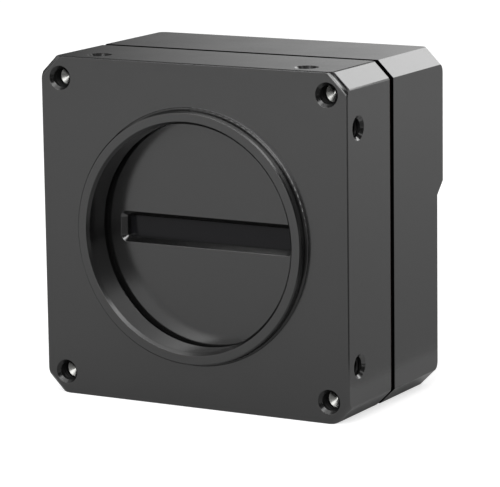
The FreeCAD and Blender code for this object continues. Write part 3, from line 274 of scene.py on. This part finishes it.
# Soft panels: place, aim, width and height in metres, and power in watts
LAMPS = (
    ("back_panel", (0.14, 0.50, 0.34), (0.02, 0.0, 0.05), 0.30, 0.30, 0.65),
    ("top_panel", (-0.11, -0.25, 0.60), (0.0, 0.0, 0.03), 0.50, 0.19, 0.55),
    ("front_panel", (-0.04, -0.65, 0.33), (0.0, 0.0, 0.03), 0.70, 0.26, 2.8),
    ("rim_panel", (0.31, -0.33, 0.53), (0.0, 0.0, 0.03), 0.20, 0.44, 0.8),
)


# ---------------------------------------------------------------- settings

def colour_setting(name, description, code):
    """A colour that can be changed in the panel."""
    return FloatVectorProperty(name=name, description=description, default=linear(code),
                               size=4, min=0.0, max=1.0, subtype="COLOR")


def length_setting(name, description, millimetres):
    """A length that can be changed in the panel."""
    return FloatProperty(name=name, description=description, default=millimetres * MM,
                         min=0.0, precision=5, subtype="DISTANCE", unit="LENGTH")


def angle_setting(name, description, angle):
    """An angle, given in degrees, that can be changed in the panel."""
    return FloatProperty(name=name, description=description, default=radians(angle),
                         subtype="ANGLE", unit="ROTATION")


class FinishSettings(bpy.types.PropertyGroup):
    """Colours and grain of the camera's surfaces."""
    front_colour: colour_setting("Front housing", "Anodised front block", "#0f0f0f")
    rear_colour: colour_setting("Rear housing", "Anodised rear block", "#0f0f0f")
    glass_colour: colour_setting("Window", "Coated glass behind the slot", "#141416")
    gasket_colour: colour_setting("Gasket", "Rubber in the seam", "#1d1010")
    # Colour of the bright metal that paints a glint at the drill points
    painted_glint_colour: colour_setting("Drill points", "Bare metal at the ends of the holes", "#7c7c7a")
    # Blasting leaves pits of about 0.05 mm, and they are drawn coarser, so that they show
    grain: length_setting("Blasting grain", "Size of the blasted texture", 0.12)
    grain_height: length_setting("Grain height", "Depth of the blasted texture", 0.004)


class ThreadSettings(bpy.types.PropertyGroup):
    """Sizes of the threads in the mounting holes."""
    pitch: length_setting("Pitch", "Distance from turn to turn", 0.7)
    depth: length_setting("Depth", "Height of the thread", 0.3)
    sides: IntProperty(name="Sides", description="Steps round each turn", default=40, min=12)


class ScrewSettings(bpy.types.PropertyGroup):
    """Sizes of the socket-head screws at the back."""
    ridges: IntProperty(name="Ridges", description="Knurled ridges round a head", default=36,
                        min=6)
    ridge_height: length_setting("Ridge height", "Height of the knurled ridges", 0.09)
    key_width: length_setting("Key width", "Socket width across flats", 2.5)
    key_depth: length_setting("Key depth", "Depth of the socket", 1.4)


class StageSettings(bpy.types.PropertyGroup):
    """Studio round the camera."""
    floor_colour: colour_setting("Floor", "Pale floor and backdrop", "#cbcbcb")
    floor_size: length_setting("Floor size", "Width of the floor", 6000.0)
    level: FloatProperty(name="Level", description="Brightness of the plain light", default=0.5,
                         min=0.0)
    azimuth: angle_setting("Azimuth", "Viewing angle to the right of the front", 29.23)
    elevation: angle_setting("Elevation", "Viewing angle above the horizon", 10.84)
    roll: angle_setting("Roll", "Turn of the view about its centre", -0.764)
    distance: length_setting("Distance", "From the lens of the studio camera", 553.2)
    aim: FloatVectorProperty(name="Aim", description="Point at the middle of the view",
                             default=(0.01162, -0.019775, 0.030893), subtype="XYZ",
                             unit="LENGTH")
    lens: FloatProperty(name="Focal length", description="Of the studio camera, in millimetres",
                        default=227.5, min=1.0)


# ---------------------------------------------------------------- nodes and materials

def add_node(tree, kind, inputs=None, **settings):
    """Adds a node with its settings. Its inputs are values, or sockets or nodes to link from."""
    node = tree.nodes.new(kind)
    for name, value in settings.items():
        setattr(node, name, value)
    for name, value in (inputs or {}).items():
        if isinstance(value, bpy.types.Node):
            value = value.outputs[0]
        if isinstance(value, bpy.types.NodeSocket):
            tree.links.new(value, node.inputs[name])
        else:
            node.inputs[name].default_value = value
    return node


def empty_tree(owner):
    """The node tree of a new material or world, with nothing in it."""
    owner.use_nodes = True
    owner.node_tree.nodes.clear()
    return owner.node_tree


def shaded(colour, factor):
    """A colour made lighter or darker by a factor."""
    return [min(1.0, channel * factor) for channel in colour[:3]] + [1.0]


def grained(name, colour, grain, grain_height, rough, **shader_inputs):
    """A material with a fine grain, and a colour and gloss that wander a little.

    The grain's size and height are in metres, and rough holds the lowest and the highest
    roughness. Other inputs of the shader are given by name, with _ for each space.
    """
    material = bpy.data.materials.new(name)
    tree = empty_tree(material)
    place = add_node(tree, "ShaderNodeTexCoord").outputs["Object"]
    limits = {"tint": (0.0, 1.0), "grain": rough, "gloss": (-GLOSS_DRIFT, GLOSS_DRIFT)}
    noises, spreads = {}, {}
    for use, (size, detail, roughness) in PATTERNS.items():
        noises[use] = add_node(tree, "ShaderNodeTexNoise",
                               {"Vector": place, "Scale": 1 / (size * grain),
                                "Detail": detail, "Roughness": roughness})
        low, high = limits[use]
        spreads[use] = add_node(tree, "ShaderNodeMapRange",
                                {"Value": noises[use], "From Min": NOISE_LOW,
                                 "From Max": NOISE_HIGH, "To Min": low, "To Max": high})
    tint = add_node(tree, "ShaderNodeValToRGB", {"Fac": spreads["tint"]})
    for stop, factor in zip(tint.color_ramp.elements, (1 - TINT_DRIFT, 1 + TINT_DRIFT)):
        stop.color = shaded(colour, factor)
    gloss = add_node(tree, "ShaderNodeMath", {0: spreads["grain"], 1: spreads["gloss"]},
                     operation="ADD")
    edge = add_node(tree, "ShaderNodeBevel", {"Radius": EDGE_BREAK}, samples=EDGE_SAMPLES)
    pits = add_node(tree, "ShaderNodeBump",
                    {"Height": noises["grain"], "Distance": grain_height, "Normal": edge})
    inputs = {key.replace("_", " "): value for key, value in shader_inputs.items()}
    shader = add_node(tree, "ShaderNodeBsdfPrincipled",
                      {"Base Color": tint, "Roughness": gloss, "Normal": pits, **inputs})
    add_node(tree, "ShaderNodeOutputMaterial", {"Surface": shader})
    return material


def blasted(name, colour, **look):
    """A material of the two housing blocks, which share their blasted grain."""
    finish = bpy.context.scene.camera_finish
    return grained(name, colour, finish.grain, finish.grain_height, **look)


# ---------------------------------------------------------------- shapes

def piece_from(name, mesh, materials=()):
    """A finished piece that rides with the camera's one body."""
    piece = bpy.data.objects.new(name, mesh)
    bpy.context.scene.collection.objects.link(piece)
    for material in materials:
        mesh.materials.append(material)
    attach(piece, "root")
    return piece


def flat_regions(form):
    """The faces that belong to a large machined flat."""
    form.normal_update()
    waiting, flats = set(form.faces), set()
    while waiting:
        region, front = set(), [waiting.pop()]
        while front:
            face = front.pop()
            region.add(face)
            for edge in face.edges:
                for other in edge.link_faces:
                    if other in waiting and face.normal.dot(other.normal) > SAME_PLANE:
                        waiting.discard(other)
                        front.append(other)
        if sum(face.calc_area() for face in region) > FLAT_AREA:
            flats |= region
    return flats


def smooth_copy(node):
    """A welded copy of a solid's mesh: flats shade flat, and turned surfaces shade round."""
    form = bmesh.new()
    form.from_mesh(frame["nodes"][node].data)
    bmesh.ops.remove_doubles(form, verts=form.verts, dist=WELD)
    flats = flat_regions(form)
    for face in form.faces:
        face.smooth = True
    for edge in form.edges:
        if len(edge.link_faces) != 2:
            continue
        angle = edge.calc_face_angle(0.0)
        bounds_flat = edge.link_faces[0] in flats or edge.link_faces[1] in flats
        edge.smooth = not (angle > CRISP_ANGLE or (bounds_flat and angle > SLIGHT_ANGLE))
    return form


def finished_mesh(form, name):
    """The plain mesh of a form, which is freed."""
    mesh = bpy.data.meshes.new(name)
    form.to_mesh(mesh)
    form.free()
    return mesh


def paint_shade_in_seam(form, depth, material):
    """Gives the face of a block that looks into the seam the painted shade material."""
    for face in form.faces:
        if all(abs(vertex.co.y - depth) < DEPTH_SLACK for vertex in face.verts):
            face.material_index = material


def shade_turned_forms(form):
    """Gives the faces of the forms turned about the lens axis their own materials, painted shade
    among them.
    """
    for material, *limits in TURNED_FORMS:
        inner, outer, front, back = (limit * MM for limit in limits)
        for face in form.faces:
            offsets = [vertex.co - LENS_AXIS for vertex in face.verts]
            outside = [Vector((offset.x, offset.z)).length - BORE_RADIUS for offset in offsets]
            behind = [vertex.co.y - RING_FACE for vertex in face.verts]
            if (inner - SLACK < min(outside) and max(outside) < outer + SLACK
                    and front - SLACK < min(behind) and max(behind) < back + SLACK):
                face.material_index = material


def hole_spots():
    """Where each mounting hole's wall starts and the way the hole faces, from the record."""
    spots = []
    for name in MOUNTING_HOLES:
        centre, axis = Vector(MOUNTS[name]["pos_m"]), Vector(MOUNTS[name]["axis"])
        sizes = MOUNTS[name]["dims"]
        halves = [sizes.get(key, 0.0) * MM / 2 for key in ("spacing_x_mm", "spacing_y_mm")]
        # The holes of a face are spaced along the two world axes that lie in it
        across, along = (way for way in WORLD_AXES if abs(way.dot(axis)) < 0.5)
        steps = [(-1, 1) if half else (0,) for half in halves]
        spots += [(centre + across * halves[0] * first + along * halves[1] * second, axis)
                  for first in steps[0] for second in steps[1]]
    return spots


def hole_wall(form, spot, axis):
    """The faces of a hole's round wall, and the depth at which that wall ends."""
    wall, deepest = [], 0.0
    for face in form.faces:
        offsets = [vertex.co - spot for vertex in face.verts]
        depths = [-offset.dot(axis) for offset in offsets]
        beside = [abs((offset + axis * depth).length - HOLE_RADIUS)
                  for offset, depth in zip(offsets, depths)]
        if (max(beside) <= 2 * SLACK and -COUNTERSINK_DEPTH_LIMIT < min(depths)
                and max(depths) < HOLE_LENGTH_LIMIT):
            wall.append(face)
            deepest = max(deepest, max(depths))
    return wall, deepest


def shade_hole(form, spot, axis, deepest):
    """Gives a hole's drill point bright metal for a painted glint, and dulls the countersinks of
    the front holes.
    """
    for face in form.faces:
        offsets = [vertex.co - spot for vertex in face.verts]
        if max(offset.cross(axis).length for offset in offsets) > COUNTERSINK_REACH * HOLE_RADIUS:
            continue
        depths = [-offset.dot(axis) for offset in offsets]
        past_wall = deepest - SLACK < min(depths) and max(depths) < 2 * deepest
        sloping = SLOPE_COSINES[0] < face.normal.dot(axis) < SLOPE_COSINES[1]
        if past_wall:
            # Painted glint: the drill point takes bright metal
            face.material_index = PAINTED_GLINT
        elif sloping and axis.y and -COUNTERSINK_DEPTH_LIMIT < min(depths):
            face.material_index = DULL


def lathe(profile, sides):
    """Turns (radius, height) pairs about Z, where a radius may be a function of the angle."""
    form = bmesh.new()
    rings = []
    for radius, height in profile:
        ring = []
        for step in range(sides):
            angle = FULL_TURN * step / sides
            reach = radius(angle) if callable(radius) else radius
            ring.append(form.verts.new((reach * cos(angle), reach * sin(angle), height)))
        rings.append(ring)
    for lower, upper in zip(rings, rings[1:]):
        for step in range(sides):
            after = (step + 1) % sides
            form.faces.new((lower[step], lower[after], upper[after], upper[step]))
    form.faces.new(list(reversed(rings[0])))
    form.faces.new(rings[-1])
    for face in form.faces:
        face.smooth = True
    form.normal_update()
    for edge in form.edges:
        edge.smooth = edge.calc_face_angle(0.0) < CRISP_ANGLE
    return form


# ---------------------------------------------------------------- geometry nodes

def new_group(name, sockets):
    """A geometry node group with a geometry in and out, and its named inputs."""
    tree = bpy.data.node_groups.new(name, "GeometryNodeTree")
    tree.interface.new_socket("Geometry", in_out="INPUT", socket_type="NodeSocketGeometry")
    for label, kind in sockets.items():
        tree.interface.new_socket(label, in_out="INPUT", socket_type=f"NodeSocket{kind}")
    tree.interface.new_socket("Geometry", in_out="OUTPUT", socket_type="NodeSocketGeometry")
    return tree, tree.nodes.new("NodeGroupInput").outputs


def copy_to_spots(tree, given, instance):
    """Ends a group: an instance at every point, its Z turned to the point's axis, made real."""
    axis = add_node(tree, "GeometryNodeInputNamedAttribute", {"Name": "axis"},
                    data_type="FLOAT_VECTOR")
    turn = add_node(tree, "FunctionNodeAlignRotationToVector", {"Vector": axis}, axis="Z")
    copies = add_node(tree, "GeometryNodeInstanceOnPoints",
                      {"Points": given["Geometry"], "Instance": instance, "Rotation": turn})
    real = add_node(tree, "GeometryNodeRealizeInstances", {"Geometry": copies})
    painted = add_node(tree, "GeometryNodeSetMaterial",
                       {"Geometry": real, "Material": given["Material"]})
    add_node(tree, "NodeGroupOutput", {"Geometry": painted})
    return tree


def thread_group():
    """Group that lines each hole, from its point inwards, with a helical thread."""
    tree, given = new_group("hole_thread", {
        "Radius": "Float", "Depth": "Float", "Pitch": "Float", "Length": "Float",
        "Sides": "Int", "Material": "Material"})
    place = add_node(tree, "GeometryNodeInputPosition")
    split = add_node(tree, "ShaderNodeSeparateXYZ", {"Vector": place}).outputs
    values = {name: given[name] for name in ("Depth", "Pitch", "Length")}
    values.update({name: split[name] for name in ("X", "Y", "Z")})
    for name, operation, first, second in THREAD_SUMS:
        values[name] = add_node(
            tree, "ShaderNodeMath",
            {0: values.get(first, first), 1: values.get(second, second)}, operation=operation)
    sleeve = add_node(tree, "GeometryNodeMeshCylinder",
                      {"Vertices": given["Sides"], "Side Segments": values["steps"],
                       "Radius": given["Radius"], "Depth": given["Length"]}, fill_type="NONE")
    outwards = add_node(tree, "ShaderNodeCombineXYZ", {"X": values["X"], "Y": values["Y"]})
    unit = add_node(tree, "ShaderNodeVectorMath", {0: outwards}, operation="NORMALIZE")
    offset = add_node(tree, "ShaderNodeVectorMath", {0: unit, "Scale": values["push"]},
                      operation="SCALE")
    cut = add_node(tree, "GeometryNodeSetPosition", {"Geometry": sleeve, "Offset": offset})
    round_wall = add_node(tree, "GeometryNodeSetShadeSmooth", {"Geometry": cut})
    inward = add_node(tree, "GeometryNodeFlipFaces", {"Mesh": round_wall})
    down = add_node(tree, "ShaderNodeCombineXYZ", {"Z": values["down"]})
    sunk = add_node(tree, "GeometryNodeSetPosition", {"Geometry": inward, "Offset": down})
    return copy_to_spots(tree, given, sunk)


def screw_group():
    """Group that copies one screw to every point, turned to the point's axis."""
    tree, given = new_group("rear_screw", {"Piece": "Object", "Material": "Material"})
    source = add_node(tree, "GeometryNodeObjectInfo", {"Object": given["Piece"]})
    return copy_to_spots(tree, given, source.outputs["Geometry"])


def mesh_from_group(tree, name, spots, values):
    """Runs a group on points with axes and returns its result as a plain mesh."""
    points = bpy.data.meshes.new(name)
    points.from_pydata([spot for spot, axis in spots], [], [])
    ways = points.attributes.new("axis", "FLOAT_VECTOR", "POINT")
    ways.data.foreach_set("vector", [value for spot, axis in spots for value in axis])
    carrier = bpy.data.objects.new(name, points)
    bpy.context.scene.collection.objects.link(carrier)
    modifier = carrier.modifiers.new(name, "NODES")
    modifier.node_group = tree
    for item in tree.interface.items_tree:
        if item.in_out == "INPUT" and item.name in values:
            modifier[item.identifier] = values[item.name]
    evaluated = carrier.evaluated_get(bpy.context.evaluated_depsgraph_get())
    mesh = bpy.data.meshes.new_from_object(evaluated)
    carrier.modifiers.remove(modifier)
    bpy.data.objects.remove(carrier)
    return mesh


# ---------------------------------------------------------------- operators

class VISION_OT_front_block(bpy.types.Operator):
    """Dress the milled front block, give its holes drill points of bright metal as a painted
    glint, and paint shade into its grooves and seam.
    """
    bl_idname = "vision.front_block"
    bl_label = "Front block"

    def execute(self, context):
        finish = context.scene.camera_finish
        materials = (
            blasted("front_anodised_aluminium", finish.front_colour, **SATIN_OXIDE),
            blasted("countersunk_anodised_aluminium", finish.front_colour, **TURNED_OXIDE),
            # Painted shade: the front colour darkened for the grooves and the faces in the seam
            blasted("recessed_anodised_aluminium",
                    shaded(finish.front_colour, PAINTED_SHADE_DARKNESS), **PAINTED_SHADE_OXIDE),
            # Painted glint: bright metal at the drill points
            blasted("drill_point_aluminium", finish.painted_glint_colour, **PAINTED_GLINT_ALUMINIUM))
        form = smooth_copy("front_housing")
        for spot, axis in hole_spots():
            wall, deepest = hole_wall(form, spot, axis)
            if not wall:
                raise RuntimeError("a mounting hole has no wall")
            shade_hole(form, spot, axis, deepest)
            bmesh.ops.delete(form, geom=wall, context="FACES_ONLY")
        shade_turned_forms(form)
        # Painted shade on the face that looks into the seam
        paint_shade_in_seam(form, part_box("seam_gasket")[0][1], PAINTED_SHADE)
        block = piece_from("front_block", finished_mesh(form, "front_block"),
                           materials)
        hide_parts("front_housing")
        return {"FINISHED"}


class VISION_OT_hole_threads(bpy.types.Operator):
    """Line the mounting holes with their threads."""
    bl_idname = "vision.hole_threads"
    bl_label = "Hole threads"

    def execute(self, context):
        sizes = context.scene.camera_threads
        material = blasted("thread_anodised_aluminium",
                           context.scene.camera_finish.front_colour, **THREAD_OXIDE)
        form = smooth_copy("front_housing")
        spots = hole_spots()
        length = hole_wall(form, *spots[0])[1]
        form.free()
        mesh = mesh_from_group(thread_group(), "hole_threads", spots, {
            "Radius": HOLE_RADIUS, "Depth": sizes.depth, "Pitch": sizes.pitch,
            "Length": length, "Sides": sizes.sides, "Material": material})
        piece_from("hole_threads", mesh)
        return {"FINISHED"}


class VISION_OT_rear_block(bpy.types.Operator):
    """Dress the milled rear block, and paint shade on its face in the seam."""
    bl_idname = "vision.rear_block"
    bl_label = "Rear block"

    def execute(self, context):
        black = blasted("rear_anodised_aluminium", context.scene.camera_finish.rear_colour,
                        **SATIN_OXIDE)
        seam_painted_shade = bpy.data.materials["recessed_anodised_aluminium"]
        form = smooth_copy("rear_housing")
        # Painted shade on the face that looks into the seam
        paint_shade_in_seam(form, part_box("seam_gasket")[1][1], REAR_PAINTED_SHADE)
        block = piece_from("rear_block", finished_mesh(form, "rear_block"),
                           (black, seam_painted_shade))
        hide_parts("rear_housing")
        return {"FINISHED"}


class VISION_OT_rear_screws(bpy.types.Operator):
    """Build the knurled socket-head screws at the back."""
    bl_idname = "vision.rear_screws"
    bl_label = "Rear screws"

    def execute(self, context):
        sizes = context.scene.camera_screws
        low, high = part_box("housing_screws")
        seat = high[1] - HEAD_HEIGHT
        half_key = sizes.key_width / 2
        key_floor = HEAD_HEIGHT - sizes.key_depth

        def key_flats(angle):
            """Reach of the six flats of the key socket."""
            return half_key / cos((angle + pi / 6) % (pi / 3) - pi / 6)

        def knurl(angle):
            """Reach of the knurled side of the head, cut in between its ridges."""
            wave = 0.5 + 0.5 * cos(sizes.ridges * angle)
            return HEAD_RADIUS - sizes.ridge_height * wave ** 2

        form = lathe([
            (SHANK_RADIUS, low[1] - seat), (SHANK_RADIUS, 0.0),
            (HEAD_RADIUS - HEAD_BEVEL, 0.0), (knurl, HEAD_BEVEL),
            (knurl, HEAD_HEIGHT - 2 * HEAD_BEVEL),
            (HEAD_RADIUS - 2 * HEAD_BEVEL, HEAD_HEIGHT), (half_key * KEY_MOUTH, HEAD_HEIGHT),
            (key_flats, HEAD_HEIGHT - HEAD_BEVEL / 2), (key_flats, key_floor),
            (KEY_POINT_RADIUS, key_floor - KEY_POINT_DEPTH)], RIDGE_STEPS * sizes.ridges)
        template = bpy.data.objects.new("screw_template", finished_mesh(form, "screw_template"))
        context.scene.collection.objects.link(template)
        backwards = WORLD_AXES[1]
        spots = [(Vector((x, seat, z)), backwards)
                 for x in (low[0] + HEAD_RADIUS, high[0] - HEAD_RADIUS)
                 for z in (low[2] + HEAD_RADIUS, high[2] - HEAD_RADIUS)]
        steel = grained("blackened_screw_steel", linear(BLACK_STEEL_COLOUR), BLACK_STEEL_GRAIN,
                        BLACK_STEEL_HEIGHT, **BLACK_STEEL)
        mesh = mesh_from_group(screw_group(), "rear_screws", spots,
                               {"Piece": template, "Material": steel})
        bpy.data.objects.remove(template)
        screws = piece_from("rear_screws", mesh)
        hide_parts("housing_screws")
        return {"FINISHED"}


class VISION_OT_finishes(bpy.types.Operator):
    """Give every solid that shows as it is its own material."""
    bl_idname = "vision.finishes"
    bl_label = "Finishes"

    def execute(self, context):
        finish = context.scene.camera_finish
        slots = {part["node"]: part["material_slot"] for part in frame["record"]["subparts"]}
        materials = {}
        for slot, (colour, rough, grain, height, more) in FINISHES.items():
            shade = linear(colour) if colour.startswith("#") else getattr(finish, colour)
            materials[slot] = grained(slot, shade, grain * MM, height * MM, rough, **more)
        for name, node in frame["nodes"].items():
            if slots[name] in materials:
                node.data.materials.clear()
                node.data.materials.append(materials[slots[name]])
        return {"FINISHED"}


class VISION_OT_stage(bpy.types.Operator):
    """Set up the floor, the cards, the plain light and the studio camera."""
    bl_idname = "vision.stage"
    bl_label = "Stage"

    def execute(self, context):
        scene = context.scene
        stage = scene.camera_stage
        self.floor(scene, stage)
        for card in CARDS:
            self.card(scene, *card)
        self.world(scene, stage)
        for lamp in LAMPS:
            self.lamp(scene, *lamp)
        self.studio_camera(scene, stage)
        scene.view_settings.view_transform = "Standard"
        return {"FINISHED"}

    def sheet(self, scene, name, finish, width, height):
        """Flat rectangle about the origin that faces up, and the empty tree of its material."""
        x, y = width / 2, height / 2
        mesh = bpy.data.meshes.new(name)
        mesh.from_pydata([(-x, -y, 0), (x, -y, 0), (x, y, 0), (-x, y, 0)], [], [(0, 1, 2, 3)])
        sheet = bpy.data.objects.new(name, mesh)
        scene.collection.objects.link(sheet)
        mesh.materials.append(bpy.data.materials.new(finish))
        return sheet, empty_tree(mesh.materials[0])

    def aim(self, thing, place, target, front):
        """Puts a thing at a place with its front axis towards a target."""
        thing.location = place
        turn = (Vector(target) - Vector(place)).to_track_quat(front, "Y")
        thing.rotation_euler = turn.to_euler()

    def floor(self, scene, stage):
        """Pale floor that runs past every view; it stays white and keeps soft shadows."""
        plane, tree = self.sheet(scene, "floor", "pale_floor", stage.floor_size,
                                 stage.floor_size)
        paint = add_node(tree, "ShaderNodeBsdfDiffuse", {"Color": stage.floor_colour})
        rays = add_node(tree, "ShaderNodeLightPath").outputs
        seen = add_node(tree, "ShaderNodeMath",
                        {0: rays["Is Camera Ray"], 1: rays["Is Transmission Ray"]},
                        operation="MAXIMUM")
        to_eye = add_node(tree, "ShaderNodeMath", {0: seen, 1: FLOOR_GLOW},
                          operation="MULTIPLY")
        to_mirror = add_node(tree, "ShaderNodeMath",
                             {0: rays["Is Glossy Ray"], 1: FLOOR_GLOW_IN_REFLECTIONS},
                             operation="MULTIPLY")
        lift = add_node(tree, "ShaderNodeMath", {0: to_eye, 1: to_mirror}, operation="ADD")
        glow = add_node(tree, "ShaderNodeEmission", {"Color": WHITE, "Strength": lift})
        both = add_node(tree, "ShaderNodeAddShader", {0: paint, 1: glow})
        add_node(tree, "ShaderNodeOutputMaterial", {"Surface": both})

    def card(self, scene, name, place, target, width, height, left, right):
        """Card that only reflections see, graded from its left edge to its right one."""
        card, tree = self.sheet(scene, name, name, width, height)
        self.aim(card, place, target, "Z")
        spot = add_node(tree, "ShaderNodeTexCoord").outputs["Object"]
        across = add_node(tree, "ShaderNodeSeparateXYZ", {"Vector": spot}).outputs["X"]
        shade = add_node(tree, "ShaderNodeMapRange",
                         {"Value": across, "From Min": -width / 2, "From Max": width / 2,
                          "To Min": left, "To Max": right})
        glow = add_node(tree, "ShaderNodeEmission", {"Color": WHITE, "Strength": shade})
        add_node(tree, "ShaderNodeOutputMaterial", {"Surface": glow})
        card.visible_camera = card.visible_diffuse = False
        card.visible_shadow = card.visible_transmission = False

    def world(self, scene, stage):
        """Even light from all round; the camera and shiny surfaces see it as white."""
        world = bpy.data.worlds.new("studio")
        tree = empty_tree(world)
        rays = add_node(tree, "ShaderNodeLightPath").outputs
        in_mirror = add_node(tree, "ShaderNodeMath",
                             {0: rays["Is Glossy Ray"], 1: rays["Is Transmission Ray"]},
                             operation="MAXIMUM")
        seen = add_node(tree, "ShaderNodeMath", {0: rays["Is Camera Ray"], 1: in_mirror},
                        operation="MAXIMUM")
        strength = add_node(tree, "ShaderNodeMapRange",
                            {"Value": seen, "To Min": stage.level, "To Max": 1.0})
        sky = add_node(tree, "ShaderNodeBackground", {"Color": WHITE, "Strength": strength})
        add_node(tree, "ShaderNodeOutputWorld", {"Surface": sky})
        scene.world = world

    def lamp(self, scene, name, place, target, width, height, power):
        """One soft panel."""
        light = bpy.data.lights.new(name, "AREA")
        light.shape = "RECTANGLE"
        light.size, light.size_y = width, height
        light.energy = power
        lamp = bpy.data.objects.new(name, light)
        scene.collection.objects.link(lamp)
        self.aim(lamp, place, target, "-Z")

    def studio_camera(self, scene, stage):
        """Camera on the viewing line, its picture turned by the roll."""
        back = Vector((sin(stage.azimuth) * cos(stage.elevation),
                       -cos(stage.azimuth) * cos(stage.elevation), sin(stage.elevation)))
        right = (-back).cross(WORLD_AXES[2]).normalized()
        up = back.cross(right)
        turned_right = right * cos(stage.roll) + up * sin(stage.roll)
        turned_up = up * cos(stage.roll) - right * sin(stage.roll)
        lens = bpy.data.cameras.new("studio_camera")
        lens.lens = stage.lens
        lens.clip_start, lens.clip_end = NEAR_LIMIT, FAR_LIMIT
        viewer = bpy.data.objects.new("studio_camera", lens)
        scene.collection.objects.link(viewer)
        turn = Matrix((turned_right, turned_up, back)).transposed().to_4x4()
        viewer.matrix_world = Matrix.Translation(Vector(stage.aim) + back * stage.distance) @ turn
        scene.camera = viewer


# ---------------------------------------------------------------- panel and start

SETTINGS = {"camera_finish": FinishSettings, "camera_threads": ThreadSettings,
            "camera_screws": ScrewSettings, "camera_stage": StageSettings}
OPERATORS = (VISION_OT_front_block, VISION_OT_hole_threads, VISION_OT_rear_block,
             VISION_OT_rear_screws, VISION_OT_finishes, VISION_OT_stage)


class VISION_PT_panel(bpy.types.Panel):
    """Buttons for the pieces and the stage, and their settings."""
    bl_idname = "VISION_PT_panel"
    bl_label = "Vision camera"
    bl_space_type = "VIEW_3D"
    bl_region_type = "UI"
    bl_category = "Vision camera"

    def draw(self, context):
        for operator in OPERATORS:
            self.layout.operator(operator.bl_idname)
        for name in SETTINGS:
            group = getattr(context.scene, name)
            for prop in group.bl_rna.properties:
                if prop.identifier not in {"rna_type", "name"}:
                    self.layout.prop(group, prop.identifier)


def register():
    for group in (*SETTINGS.values(), *OPERATORS, VISION_PT_panel):
        bpy.utils.register_class(group)
    for name, group in SETTINGS.items():
        setattr(bpy.types.Scene, name, PointerProperty(type=group))


def unregister():
    for name in SETTINGS:
        delattr(bpy.types.Scene, name)
    for group in reversed((*SETTINGS.values(), *OPERATORS, VISION_PT_panel)):
        bpy.utils.unregister_class(group)


def main():
    """Registers the add-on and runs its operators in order."""
    register()
    for operator in OPERATORS:
        family, name = operator.bl_idname.split(".")
        getattr(getattr(bpy.ops, family), name)()


if __name__ == "__main__":
    main()
